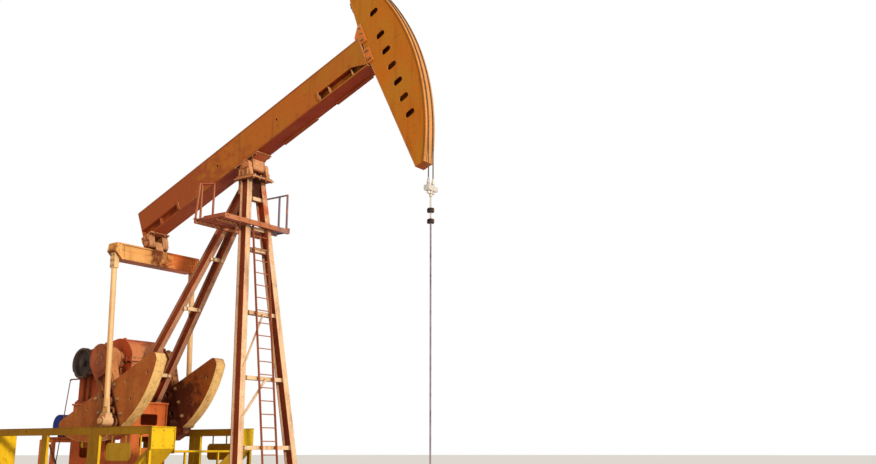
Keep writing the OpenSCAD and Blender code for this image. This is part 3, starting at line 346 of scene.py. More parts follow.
# In these paints the light colour for the sunny side is a painted highlight on the faces towards the key light; the
# underside colour is painted shade, and on the guard a painted light; the corner share lays soot with painted shade.
FINISH = {
    "skid_paint": worn_paint("skid_paint", (150, 84, 46), (170, 108, 62), wear=0.7, corner_soot_and_shade=0.6),
    "stand_paint": worn_paint("stand_paint", (196, 90, 44), (212, 118, 66), wear=0.35, corner_soot_and_shade=0.75, sunlit_highlight=(232, 124, 60), sunlit_highlight_share=0.5),
    "gear_paint": worn_paint("gear_paint", (176, 66, 30), (196, 92, 46), rust=(84, 32, 22), wear=0.6, corner_soot_and_shade=0.85, streak=0.8,
                             sunlit_highlight=(236, 176, 118), sunlit_highlight_share=0.5,
                             stain_and_shade_patches=(((-CRANK_X - 0.1, -CASE_HW, CRANK_Z - 0.3), 0.5, (90, 26, 18)),)),
    "leg_paint": worn_paint("leg_paint", (152, 58, 28), (170, 74, 38), wear=0.4, corner_soot_and_shade=0.9, streak=0.6, sunlit_highlight=(250, 214, 166), sunlit_highlight_share=0.85,
                            # painted shade: orange over the far leg's upper part holds back the painted highlight there
                            stain_and_shade_patches=(((0.1, 0.9, LEG_TOP - 0.5), 1.15, (196, 84, 46)),)),
    "brace_paint": worn_paint("brace_paint", (190, 100, 54), (214, 140, 86), wear=0.4, corner_soot_and_shade=0.8, sunlit_highlight=(252, 222, 176), sunlit_highlight_share=0.85),
    "deck_steel": worn_paint("deck_steel", (156, 74, 44), (176, 104, 74), rust=(98, 44, 32), wear=0.6, corner_soot_and_shade=0.6, sunlit_highlight=(222, 152, 104), sunlit_highlight_share=0.45,
                             # painted shade: grey-blue over the far deck rail
                             stain_and_shade_patches=(((-0.08, 0.78, DECK_Z + 0.42), 0.75, (128, 124, 138)),)),
    "motor_paint": worn_paint("motor_paint", (20, 38, 104), (30, 54, 128), wear=0.2, corner_soot_and_shade=0.7, rough=0.45, sunlit_highlight=(60, 90, 160),
                              sunlit_highlight_share=0.4, underside_shading=(20, 24, 52)),
    "belt_rubber": belt_rubber("belt_rubber"),
    "brake_steel": cast_iron("brake_steel", (78, 48, 40), (120, 74, 54), rough=0.6, stain_and_shade_patches=(((ROPE_X, 0, PIVOT_H - 1.74), 0.9, (34, 32, 38)),)),
    "guard_paint": worn_paint("guard_paint", (138, 92, 10), (156, 112, 16), rust=(112, 64, 24), wear=0.35, corner_soot_and_shade=0.6, streak=0.5,
                              # bright yellow on the sunny sides and on the undersides is painted light
                              sunlit_highlight=(252, 204, 36), sunlit_highlight_share=0.95, sunlit_highlight_from=0.15, underside_shading=(224, 170, 30), underside_shading_share=0.2),
    "plate_paint": worn_paint("plate_paint", (158, 112, 16), (176, 132, 30), rust=(112, 64, 24), wear=0.35, corner_soot_and_shade=0.4, underside_shading=(120, 84, 20)),
    "beam_paint": worn_paint("beam_paint", (184, 100, 36), (178, 112, 36), rust=(128, 56, 34), wear=0.45, corner_soot_and_shade=0.6, streak=0.45,
                             # dark red undersides are painted shade
                             underside_shading=(124, 20, 8), underside_shading_share=0.98, stain_and_shade_patches=((BEAM_TAIL_MIDDLE, 2.9, (156, 72, 38)),)),
    "saddle_paint": worn_paint("saddle_paint", (196, 112, 62), (222, 158, 104), wear=0.5, corner_soot_and_shade=0.95, streak=0.8, sunlit_highlight=(248, 196, 142), sunlit_highlight_share=0.5,
                               # the three dark patches under the post cap are painted shade between the front legs
                               stain_and_shade_patches=[((0.06, 0, LEG_TOP - low), 0.3, (50, 22, 18)) for low in (0.08, 0.18, 0.28)]
                               + [(HEAD_HINGE, 1.5, (214, 118, 48))]),
    "head_paint": worn_paint("head_paint", (196, 108, 28), (188, 118, 34), rust=(128, 58, 34), wear=0.35, corner_soot_and_shade=0.5, streak=0.5,
                             sunlit_highlight=(250, 178, 108), sunlit_highlight_share=0.75),
    "equalizer_paint": worn_paint("equalizer_paint", (222, 130, 54), (236, 168, 88), wear=0.35, corner_soot_and_shade=0.6, sunlit_highlight=(244, 196, 124), sunlit_highlight_share=0.6,
                                  stain_and_shade_patches=((EQ_RUSTED, 0.8, (200, 92, 38)), (EQ_SHADED_END, 0.42, (88, 40, 30)), (EQ_MIDDLE, 0.42, (96, 30, 22)))),
    "pitman_paint": worn_paint("pitman_paint", (212, 152, 92), (228, 182, 124), wear=0.3, corner_soot_and_shade=0.5, sunlit_highlight=(250, 218, 164), sunlit_highlight_share=0.6),
    "wrist_steel": cast_iron("wrist_steel", (196, 120, 66), (222, 160, 104), rough=0.6, sunlit_highlight=(250, 214, 160), sunlit_highlight_share=0.6),
    "crank_paint": cast_iron("crank_paint", (148, 68, 36), (168, 90, 48), corner_soot_and_shade=0.85, sunlit_highlight=(226, 160, 96), sunlit_highlight_share=0.6, stain_and_shade_patches=(FAR_SHADE,)),
    "weight_paint": cast_iron("weight_paint", (156, 78, 28), (170, 94, 36), corner_soot_and_shade=0.5, sunlit_highlight=(248, 206, 136), sunlit_highlight_share=0.85,
                              # rim: painted highlight, a cream band round the weights' outer edge
                              rim=(WEIGHT_CENTRE, 2.24, (240, 194, 120)), stain_and_shade_patches=(FAR_SHADE,)),
    "shaft_steel": bare_steel("shaft_steel", (176, 170, 160)),
    "sheave_iron": cast_iron("sheave_iron", (62, 52, 48), (96, 76, 60), rough=0.55),
    "rope_steel": wire_rope("rope_steel", (150, 128, 104)),
    "carrier_steel": cast_iron("carrier_steel", (206, 196, 184), (232, 222, 208), rough=0.5, metal=0.2),
    "rod_steel": bare_steel("rod_steel", (142, 124, 132), rough=0.5, metal=0.15, turned=(60, 60, 1)),
}
BOLT_STEEL = worn_paint("bolt_steel", (168, 104, 62), (206, 160, 108), rust=(84, 44, 30), wear=0.6, corner_soot_and_shade=0.8, grain=3)
DARK_BOLT = cast_iron("dark_bolt", (70, 46, 36), (110, 76, 54), rough=0.5)
WELD_METAL = worn_paint("weld_metal", (176, 100, 50), (196, 132, 76), wear=0.6, corner_soot_and_shade=0.7, grain=3)


def dress_cad_nodes():
    for sub in frame["record"]["subparts"]:
        node = frame["nodes"][sub["node"]]
        for slot in node.material_slots:
            slot.material = FINISH[sub["material_slot"]]


dress_cad_nodes()


# Ways to make pieces.

def keep_piece(name, mesh, material, body):
    if material is not None:
        mesh.materials.clear()
        mesh.materials.append(material)
    piece = bpy.data.objects.new(name, mesh)
    bpy.context.scene.collection.objects.link(piece)
    if body:
        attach(piece, body)
    return piece


def finish_bmesh(name, bm, material, body, bevel=0.0):
    bmesh.ops.recalc_face_normals(bm, faces=bm.faces)
    mesh = bpy.data.meshes.new(name)
    bm.to_mesh(mesh)
    bm.free()
    if bevel:
        rough = bpy.data.objects.new(name + "_rough", mesh)
        bpy.context.scene.collection.objects.link(rough)
        mod = rough.modifiers.new("edge", "BEVEL")
        mod.width = bevel
        mod.segments = 2
        mod.limit_method = "ANGLE"
        mod.angle_limit = radians(40)
        graph = bpy.context.evaluated_depsgraph_get()
        mesh = bpy.data.meshes.new_from_object(rough.evaluated_get(graph))
        bpy.data.objects.remove(rough)
    return keep_piece(name, mesh, material, body)


def block(bm, x0, x1, y0, y1, z0, z1, turn=None):
    corners = [(x, y, z) for x in (x0, x1) for y in (y0, y1) for z in (z0, z1)]
    verts = [bm.verts.new((turn @ Vector(c)) if turn else c) for c in corners]
    for face in ((0, 1, 3, 2), (4, 6, 7, 5), (0, 4, 5, 1), (2, 3, 7, 6), (0, 2, 6, 4), (1, 5, 7, 3)):
        bm.faces.new([verts[i] for i in face])


def turned(bm, start, out, rings, sides=32):
    """A solid of revolution from start along out; rings are (distance, radius), closed at both ends."""
    out = Vector(out).normalized()
    basis = out.to_track_quat("Z", "Y").to_matrix().to_4x4()
    place = Matrix.Translation(start) @ basis
    loops = []
    for d, r in rings:
        loops.append([bm.verts.new(place @ Vector((r * cos(2 * pi * k / sides), r * sin(2 * pi * k / sides), d))) for k in range(sides)])
    for a, b in zip(loops, loops[1:]):
        for k in range(sides):
            bm.faces.new((a[k], a[(k + 1) % sides], b[(k + 1) % sides], b[k]))
    bm.faces.new(list(reversed(loops[0])))
    bm.faces.new(loops[-1])


def bolt_tree():
    """Geometry Nodes: a hexagon head with its washer and stud end at each point, turned to the point's out vector."""
    tree = bpy.data.node_groups.new("bolts_on_points", "GeometryNodeTree")
    for label, kind in (("Points", "NodeSocketGeometry"), ("Head", "NodeSocketFloat"), ("Finish", "NodeSocketMaterial")):
        tree.interface.new_socket(label, in_out="INPUT", socket_type=kind)
    tree.interface.new_socket("Geometry", in_out="OUTPUT", socket_type="NodeSocketGeometry")
    add = tree.nodes.new
    source, sink = add("NodeGroupInput"), add("NodeGroupOutput")

    def cylinder(sides, radius, depth, lift):
        node = add("GeometryNodeMeshCylinder")
        node.inputs["Vertices"].default_value = sides
        node.inputs["Radius"].default_value = radius
        node.inputs["Depth"].default_value = depth
        move = add("GeometryNodeTransform")
        move.inputs["Translation"].default_value = (0, 0, lift)
        tree.links.new(node.outputs["Mesh"], move.inputs["Geometry"])
        return move.outputs["Geometry"]

    join = add("GeometryNodeJoinGeometry")
    for shape in (cylinder(12, 0.62, 0.12, 0.06), cylinder(6, 0.5, 0.38, 0.31), cylinder(8, 0.27, 0.26, 0.62)):
        tree.links.new(shape, join.inputs[0])
    size = add("GeometryNodeInputNamedAttribute")
    size.data_type = "FLOAT"
    size.inputs["Name"].default_value = "size"
    out = add("GeometryNodeInputNamedAttribute")
    out.data_type = "FLOAT_VECTOR"
    out.inputs["Name"].default_value = "out"
    align = add("FunctionNodeAlignRotationToVector")
    align.axis = "Z"
    tree.links.new(out.outputs["Attribute"], align.inputs["Vector"])
    scale = add("ShaderNodeMath")
    scale.operation = "MULTIPLY"
    tree.links.new(size.outputs["Attribute"], scale.inputs[0])
    tree.links.new(source.outputs["Head"], scale.inputs[1])
    to_points = add("GeometryNodeMeshToPoints")
    tree.links.new(source.outputs["Points"], to_points.inputs["Mesh"])
    place = add("GeometryNodeInstanceOnPoints")
    tree.links.new(to_points.outputs["Points"], place.inputs["Points"])
    tree.links.new(join.outputs[0], place.inputs["Instance"])
    tree.links.new(align.outputs["Rotation"], place.inputs["Rotation"])
    tree.links.new(scale.outputs[0], place.inputs["Scale"])
    real = add("GeometryNodeRealizeInstances")
    paint = add("GeometryNodeSetMaterial")
    tree.links.new(place.outputs["Instances"], real.inputs["Geometry"])
    tree.links.new(real.outputs["Geometry"], paint.inputs["Geometry"])
    tree.links.new(source.outputs["Finish"], paint.inputs["Material"])
    tree.links.new(paint.outputs["Geometry"], sink.inputs["Geometry"])
    return tree


BOLT_TREE = bolt_tree()


def grown(name, mesh, tree, inputs):
    """Runs a tree on a mesh and gives its result as a plain mesh."""
    seed = bpy.data.objects.new(name + "_seed", mesh)
    bpy.context.scene.collection.objects.link(seed)
    mod = seed.modifiers.new("grow", "NODES")
    mod.node_group = tree
    for item in tree.interface.items_tree:
        if item.in_out == "INPUT" and item.name in inputs:
            mod[item.identifier] = inputs[item.name]
    graph = bpy.context.evaluated_depsgraph_get()
    result = bpy.data.meshes.new_from_object(seed.evaluated_get(graph))
    bpy.data.objects.remove(seed)
    return result


def bolts(name, body, spots, material=None):
    """spots: (place, out, width across the head in metres)"""
    mesh = bpy.data.meshes.new(name + "_points")
    mesh.from_pydata([tuple(p) for p, _, _ in spots], [], [])
    size = mesh.attributes.new("size", "FLOAT", "POINT")
    out = mesh.attributes.new("out", "FLOAT_VECTOR", "POINT")
    for i, (_, o, w) in enumerate(spots):
        size.data[i].value = w
        out.data[i].vector = Vector(o).normalized()
    finish = material or BOLT_STEEL
    result = grown(name, mesh, BOLT_TREE, {"Head": 1.0, "Finish": finish})
    return keep_piece(name, result, finish, body)


def ring(centre, out, radius, count, width, start=0.0):
    out = Vector(out).normalized()
    basis = out.to_track_quat("Z", "Y").to_matrix()
    return [(Vector(centre) + basis @ Vector((radius * cos(start + 2 * pi * k / count), radius * sin(start + 2 * pi * k / count), 0)), out, width)
            for k in range(count)]


def line_of(a, b, count, out, width):
    a, b = Vector(a), Vector(b)
    return [(a.lerp(b, k / (count - 1)), Vector(out), width) for k in range(count)]


def moved(spots, place):
    turn = place.to_3x3()
    return [(place @ Vector(p), turn @ Vector(o), w) for p, o, w in spots]


def mirrored(spots):
    return spots + [(Vector((p[0], -p[1], p[2])), Vector((o[0], -o[1], o[2])), w) for p, o, w in spots]


def weld_tree():
    """Geometry Nodes: a bead along each edge of a wire mesh."""
    tree = bpy.data.node_groups.new("weld_beads", "GeometryNodeTree")
    for label, kind in (("Path", "NodeSocketGeometry"), ("Bead", "NodeSocketFloat"), ("Step", "NodeSocketFloat"),
                        ("Finish", "NodeSocketMaterial")):
        tree.interface.new_socket(label, in_out="INPUT", socket_type=kind)
    tree.interface.new_socket("Geometry", in_out="OUTPUT", socket_type="NodeSocketGeometry")
    add = tree.nodes.new
    source, sink = add("NodeGroupInput"), add("NodeGroupOutput")
    curve = add("GeometryNodeMeshToCurve")
    tree.links.new(source.outputs["Path"], curve.inputs["Mesh"])
    fine = add("GeometryNodeResampleCurve")
    if "Mode" in fine.inputs:
        fine.inputs["Mode"].default_value = "Length"
    else:
        fine.mode = "LENGTH"
    tree.links.new(curve.outputs[0], fine.inputs["Curve"])
    tree.links.new(source.outputs["Step"], fine.inputs["Length"])
    profile = add("GeometryNodeCurvePrimitiveCircle")
    profile.inputs["Resolution"].default_value = 6
    tree.links.new(source.outputs["Bead"], profile.inputs["Radius"])
    body = add("GeometryNodeCurveToMesh")
    body.inputs["Fill Caps"].default_value = True
    tree.links.new(fine.outputs[0], body.inputs["Curve"])
    tree.links.new(profile.outputs["Curve"], body.inputs["Profile Curve"])
    real = add("GeometryNodeRealizeInstances")
    paint = add("GeometryNodeSetMaterial")
    tree.links.new(body.outputs[0], real.inputs["Geometry"])
    tree.links.new(real.outputs["Geometry"], paint.inputs["Geometry"])
    tree.links.new(source.outputs["Finish"], paint.inputs["Material"])
    tree.links.new(paint.outputs["Geometry"], sink.inputs["Geometry"])
    return tree


WELD_TREE = weld_tree()


def welds(name, body, runs, bead=0.008):
    """runs: lists of points; each makes one bead"""
    verts, edges = [], []
    for run in runs:
        start = len(verts)
        verts += [tuple(p) for p in run]
        edges += [(start + i, start + i + 1) for i in range(len(run) - 1)]
    mesh = bpy.data.meshes.new(name + "_path")
    mesh.from_pydata(verts, edges, [])
    result = grown(name, mesh, WELD_TREE, {"Bead": bead, "Step": 0.06, "Finish": WELD_METAL})
    return keep_piece(name, result, WELD_METAL, body)


def panel(name, body, slot, blocks, material=None, bevel=0.003, place=None):
    """Flat plates and bars: (x0, x1, y0, y1, z0, z1) each, in the place's own axes."""
    bm = bmesh.new()
    for b in blocks:
        block(bm, *b, turn=place)
    return finish_bmesh(name, bm, material or FINISH[slot], body, bevel)


def both_sides(blocks):
    return blocks + [(x0, x1, -y1, -y0, z0, z1) for x0, x1, y0, y1, z0, z1 in blocks]


def at_beam(x, y, n):
    return IN_BEAM @ Vector((x, y, n))


def at_crank(x, y, z):
    return IN_CRANK @ Vector((x, y, z))


def at_pitman(x, y, z):
    return IN_PITMAN @ Vector((x, y, z))


PITMAN_FOOT = IN_PITMAN @ Matrix.Translation((0, 0, -PITMAN_L))
LEG_TOP_X, LEG_TOP_Y = FOOT_X - 0.756, 0.196
LEG_W, LEG_D = 0.140, 0.215
REAR_TOP = LEG_TOP - 0.2
BRACE_Z = [LEG_TOP - d for d in (0.42, 1.10, 1.57, 2.93, 4.27, 5.64)]
REAR_BRACE_Z = [REAR_TOP - k * (REAR_TOP - STAND_Z) for k in (0.32, 0.552, 0.867)]


def front_at(z):
    share = (LEG_TOP - z) / (LEG_TOP - SKID_D)
    return LEG_TOP_X + (FOOT_X - LEG_TOP_X) * share, LEG_TOP_Y + (FOOT_Y - LEG_TOP_Y) * share


def rear_at(z):
    share = (REAR_TOP - z) / (REAR_TOP - STAND_Z)
    return -0.204 + (REAR_FOOT_X + 0.204) * share, 0.102 + (REAR_FOOT_Y - 0.102) * share


# Walking beam.

def dress_beam():
    top, low, half = BEAM_SEAT + BEAM_D, BEAM_SEAT, BEAM_W / 2
    spots = [(Vector((-TAIL_REACH + dx, y, top)), (0, 0, 1), 0.052) for dx in (-0.1, 0.18) for y in (-0.15, 0.15)]
    spots += [(Vector((dx, y, low - 0.03)), (0, 0, -1), 0.046) for dx in (-0.3, -0.18, 0.18, 0.3) for y in (-0.19, 0.19)]
    spots += [(Vector((-TAIL_REACH + dx, y, low - 0.03)), (0, 0, -1), 0.046) for dx in (-0.1, 0.18) for y in (-0.15, 0.15)]
    bolts("beam_bolts", "beam", moved(spots, IN_BEAM))
    seams = []
    for y in (-half - 0.002, half + 0.002):
        seams.append([at_beam(-BEAM_TAIL + 0.01, y, top - 0.022), at_beam(BEAM_NOSE - 0.01, y, top - 0.022)])
        seams.append([at_beam(-2.25, y, low + 0.022), at_beam(2.25, y, low + 0.022)])
        for x in (-2.28, -2.22, 2.22, 2.28):
            seams.append([at_beam(x, y, low + 0.05), at_beam(x, y, low + 0.25)])
        seams.append([at_beam(BEAM_NOSE - 0.38, y, low + 0.215), at_beam(BEAM_NOSE, y, low + 0.03)])
    welds("beam_welds", "beam", seams)
    # plate that closes the tail, and stiffeners in the long slots
    blocks = [(-BEAM_TAIL - 0.012, -BEAM_TAIL, -half + 0.01, half - 0.01, low + 0.02, top - 0.02)]
    for x in (-2.9, 2.55, 3.2):
        blocks += both_sides([(x - 0.006, x + 0.006, half - 0.115, half - 0.01, low + 0.03, low + 0.215)])
    panel("beam_stiffeners", "beam", "beam_paint", blocks, place=IN_BEAM)


dress_beam()


# Saddle and post cap.

def dress_saddle():
    spots = ring((0, -0.312, PIVOT_H), (0, -1, 0), 0.066, 6, 0.022) + ring((0, 0.312, PIVOT_H), (0, 1, 0), 0.066, 6, 0.022)
    spots += [(Vector((x, y, CAP_Z + 0.04)), (0, 0, 1), 0.05) for x in (-0.2, 0.2) for y in (-0.17, 0.17, 0.0)]
    spots += [(Vector((x, y, CAP_Z)), (0, 0, 1), 0.04) for x in (-0.26, 0.26) for y in (-0.27, 0.27)]
    spots += [(Vector((x, y, LEG_TOP)), (0, 0, -1), 0.04) for x in (-0.26, 0.26) for y in (-0.27, -0.09, 0.09, 0.27)]
    bolts("saddle_bolts", "post", spots)
    bm = bmesh.new()
    for side in (-1, 1):
        turned(bm, (0, side * 0.30, PIVOT_H), (0, side, 0), [(0, 0.088), (0.016, 0.088), (0.02, 0.05), (0.026, 0.045)], 40)
        turned(bm, (0.0, side * 0.25, PIVOT_H + 0.12), (0, 0, 1), [(0, 0.012), (0.03, 0.012), (0.032, 0.006), (0.045, 0.006)], 10)
        # ribs of the bearing stands
        for x in (-0.12, 0.0, 0.12):
            block(bm, x - 0.012, x + 0.012, min(side * 0.298, side * 0.335), max(side * 0.298, side * 0.335), CAP_Z + 0.04, PIVOT_H - 0.13 + abs(x) * 0.3)
    finish_bmesh("saddle_caps", bm, FINISH["saddle_paint"], "post", 0.002)


# Horsehead.

def dress_head():
    side = HEAD_W / 2 + 0.016
    spots = []
    for y in (-1, 1):
        for x, n in ((BEAM_NOSE + 0.06, 0.80), (HEAD_BACK + 0.07, 0.80), (HEAD_BACK + 0.09, 0.95), (HEAD_BACK + 0.095, 1.08),
                     (BEAM_NOSE + 0.06, 0.30), (HEAD_BACK + 0.09, 0.30), (BEAM_NOSE + 0.06, 0.50), (HEAD_BACK + 0.09, 0.50)):
            spots.append((at_beam(x, y * side, n), IN_BEAM.to_3x3() @ Vector((0, y, 0)), 0.042))
    spots += [(at_beam(BEAM_NOSE - 0.045, y, BEAM_SEAT + BEAM_D + 0.04), IN_BEAM.to_3x3() @ Vector((0, 0, 1)), 0.046) for y in (-0.1, 0, 0.1)]
    bolts("head_bolts", "beam", spots)
    seams = []
    n0, n1 = -HEAD_R * sin(radians(31)), HEAD_R * sin(radians(31))
    arc = [radians(a) for a in range(-31, 32)]
    for y in (-1, 1):
        yy = y * (HEAD_W / 2 - 0.012)
        seams.append([at_beam((HEAD_R - 0.022) * cos(a), yy, (HEAD_R - 0.022) * sin(a)) for a in arc])
        seams.append([at_beam(HEAD_BACK + 0.168, yy, n0 + 0.01), at_beam(HEAD_BACK + 0.006, yy, BEAM_SEAT + BEAM_D / 2),
                      at_beam(HEAD_BACK + 0.112, yy, n1 - 0.04)])
    welds("head_welds", "beam", seams, 0.007)
    # lifting lug on the back, strap beside it, and inner ribs behind the holes
    bm = bmesh.new()
    for y in (-0.05, 0.05):
        block(bm, HEAD_BACK + 0.0, HEAD_BACK + 0.09, y - 0.008, y + 0.008, 1.62, 1.86, turn=IN_BEAM)
    turned(bm, at_beam(HEAD_BACK + 0.02, -0.075, 1.74), (0, 1, 0), [(0, 0.026), (0.15, 0.026)], 16)
    for n in (-1.9, -1.13, -0.35, 0.44, 0.98, 1.6, 2.15):
        reach = sqrt(max(0.1, HEAD_R ** 2 - n ** 2)) - 0.03
        block(bm, HEAD_BACK + 0.2, reach, -HEAD_W / 2 + 0.032, HEAD_W / 2 - 0.032, n - 0.006, n + 0.006, turn=IN_BEAM)
    finish_bmesh("head_ribs", bm, FINISH["head_paint"], "beam", 0.002)


# Ropes.

def rope_tree():
    """Geometry Nodes: a six-strand rope along each path."""
    tree = bpy.data.node_groups.new("laid_rope", "GeometryNodeTree")
    for label, kind in (("Path", "NodeSocketGeometry"), ("Radius", "NodeSocketFloat"), ("Lay", "NodeSocketFloat"),
                        ("Step", "NodeSocketFloat"), ("Finish", "NodeSocketMaterial")):
        tree.interface.new_socket(label, in_out="INPUT", socket_type=kind)
    tree.interface.new_socket("Geometry", in_out="OUTPUT", socket_type="NodeSocketGeometry")
    add = tree.nodes.new
    source, sink = add("NodeGroupInput"), add("NodeGroupOutput")
    curve = add("GeometryNodeMeshToCurve")
    tree.links.new(source.outputs["Path"], curve.inputs["Mesh"])
    fine = add("GeometryNodeResampleCurve")
    if "Mode" in fine.inputs:
        fine.inputs["Mode"].default_value = "Length"
    else:
        fine.mode = "LENGTH"
    tree.links.new(curve.outputs[0], fine.inputs["Curve"])
    tree.links.new(source.outputs["Step"], fine.inputs["Length"])
    along = add("GeometryNodeSplineParameter")
    turn = add("ShaderNodeMath")
    turn.operation = "DIVIDE"
    tree.links.new(along.outputs["Length"], turn.inputs[0])
    tree.links.new(source.outputs["Lay"], turn.inputs[1])
    angle = add("ShaderNodeMath")
    angle.operation = "MULTIPLY"
    angle.inputs[1].default_value = 2 * pi
    tree.links.new(turn.outputs[0], angle.inputs[0])
    tilt = add("GeometryNodeSetCurveTilt")
    tree.links.new(fine.outputs[0], tilt.inputs["Curve"])
    tree.links.new(angle.outputs[0], tilt.inputs["Tilt"])
    star = add("GeometryNodeCurveStar")
    star.inputs["Points"].default_value = 6
    inner = add("ShaderNodeMath")
    inner.operation = "MULTIPLY"
    inner.inputs[1].default_value = 0.74
    tree.links.new(source.outputs["Radius"], inner.inputs[0])
    tree.links.new(inner.outputs[0], star.inputs["Inner Radius"])
    tree.links.new(source.outputs["Radius"], star.inputs["Outer Radius"])
    body = add("GeometryNodeCurveToMesh")
    body.inputs["Fill Caps"].default_value = True
    tree.links.new(tilt.outputs[0], body.inputs["Curve"])
    tree.links.new(star.outputs["Curve"], body.inputs["Profile Curve"])
    real = add("GeometryNodeRealizeInstances")
    paint = add("GeometryNodeSetMaterial")
    tree.links.new(body.outputs[0], real.inputs["Geometry"])
    tree.links.new(real.outputs["Geometry"], paint.inputs["Geometry"])
    tree.links.new(source.outputs["Finish"], paint.inputs["Material"])
    tree.links.new(paint.outputs["Geometry"], sink.inputs["Geometry"])
    return tree


ROPE_TREE = rope_tree()


def rope_mesh(name, runs, radius, lay=0.17, step=0.017):
    verts, edges = [], []
    for run in runs:
        start = len(verts)
        verts += [tuple(p) for p in run]
        edges += [(start + i, start + i + 1) for i in range(len(run) - 1)]
    mesh = bpy.data.meshes.new(name + "_path")
    mesh.from_pydata(verts, edges, [])
    inputs = {"Radius": radius, "Lay": lay, "Step": step, "Finish": FINISH["rope_steel"]}
    return grown(name, mesh, ROPE_TREE, inputs)


def ropes():
    # on the head, from the anchors at its top down to where they leave the arc
    wrap = []
    for y in (-0.075, 0.075):
        run = [(ROPE_X * cos(a), y, PIVOT_H + ROPE_X * sin(a)) for a in [BEAM_RISE + radians(28.5) - k * (BEAM_RISE + radians(28.5)) / 90 for k in range(91)]]
        wrap.append(run)
    mesh = rope_mesh("wrapped_rope", wrap, 0.0128)
    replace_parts(keep_piece("wrapped_rope", mesh, FINISH["rope_steel"], "beam"), "bridle_wrap")
    # clamps that anchor the ropes: two bolted plates and the rope's dead end
    bm = bmesh.new()
    top = IN_BEAM @ Matrix.Rotation(radians(-28), 4, "Y")
    spots = []
    for y in (-0.075, 0.075):
        for z in (-0.035, 0.035):
            block(bm, HEAD_R + 0.001, HEAD_R + 0.038, y - 0.032, y + 0.032, z - 0.024, z + 0.024, turn=top)
            for dy in (-0.021, 0.021):
                spots.append((top @ Vector((HEAD_R + 0.038, y + dy, z)), top.to_3x3() @ Vector((1, 0, 0)), 0.018))
    finish_bmesh("rope_clamps", bm, FINISH["carrier_steel"], "beam", 0.003)
    bolts("rope_clamp_bolts", "beam", spots, DARK_BOLT)


def hanging_parts():
    carrier_z = PIVOT_H - 1.15
    hanger_z = carrier_z - 0.75
    runs = [[(ROPE_X, y, PIVOT_H - k * (PIVOT_H - carrier_z - 0.05) / 20) for k in range(21)] for y in (-0.075, 0.075)]
    hang = keep_piece("hanging_rope", rope_mesh("hanging_rope", runs, 0.0128), FINISH["rope_steel"], None)
    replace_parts(hang, "bridle_hang")
    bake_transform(hang)
    # the polished rod, drawn out of the well
    bm = bmesh.new()
    turned(bm, (ROPE_X, 0, 0.26), (0, 0, 1), [(0, 0.016)] + [(k * (hanger_z - 0.26) / 30, 0.016) for k in range(1, 31)], 24)
    rod = finish_bmesh("polished_rod", bm, FINISH["rod_steel"], None)
    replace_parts(rod, "rod_line")
    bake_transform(rod)
    # sockets, wedges and nuts of the carrier bar
    bm = bmesh.new()
    for y in (-0.075, 0.075):
        turned(bm, (ROPE_X, y, carrier_z + 0.05), (0, 0, 1), [(-0.02, 0.034), (0.0, 0.034), (0.05, 0.024), (0.09, 0.017)], 20)
        turned(bm, (ROPE_X, y, carrier_z - 0.13), (0, 0, -1), [(0, 0.036), (0.03, 0.036), (0.034, 0.03)], 6)
    for y in (-0.13, 0.13):
        block(bm, ROPE_X - 0.066, ROPE_X + 0.066, y - 0.006, y + 0.006, carrier_z - 0.1, carrier_z - 0.02)
    turned(bm, (ROPE_X, 0, carrier_z - 0.16), (0, 0, -1), [(0, 0.034), (0.05, 0.034), (0.056, 0.026)], 6)
    finish_bmesh("carrier_sockets", bm, FINISH["carrier_steel"], "carrier", 0.002)
    spots = []
    bm = bmesh.new()
    for z in (hanger_z + 0.06, hanger_z + 0.27):
        for x in (-1, 1):
            block(bm, ROPE_X + min(x * 0.05, x * 0.068), ROPE_X + max(x * 0.05, x * 0.068), -0.022, 0.022, z - 0.036, z + 0.036)
            for dz in (-0.018, 0.018):
                spots.append((Vector((ROPE_X + x * 0.056, -0.022, z + dz)), (0, -1, 0), 0.02))
    finish_bmesh("clamp_ears", bm, DARK_BOLT, "carrier", 0.002)
    bolts("clamp_bolts", "carrier", spots, DARK_BOLT)


# Tail bearing, equalizer and pitmans.

def dress_tail():
    turn = IN_BEAM.to_3x3()
    spots = []
    bm = bmesh.new()
    for side in (-1, 1):
        centre = IN_BEAM @ Vector((-TAIL_REACH, side * 0.27, -0.06))
        spots += ring(centre, (0, side, 0), 0.088, 6, 0.024)
        turned(bm, centre, (0, side, 0), [(0, 0.07), (0.022, 0.07), (0.026, 0.05)], 32)
        for x in (-0.125, 0.125):
            spots.append((IN_BEAM @ Vector((-TAIL_REACH + x, side * 0.235, 0.12)), turn @ Vector((0, 0, -1)), 0.03))
        for x in (-0.1, 0.0, 0.1):
            block(bm, -TAIL_REACH + x - 0.01, -TAIL_REACH + x + 0.01, min(side * 0.27, side * 0.296), max(side * 0.27, side * 0.296),
                  0.03 if x == 0.0 else 0.0, 0.145, turn=IN_BEAM)
    finish_bmesh("tail_covers", bm, FINISH["saddle_paint"], "beam", 0.002)
    bolts("tail_bolts", "beam", spots, DARK_BOLT)


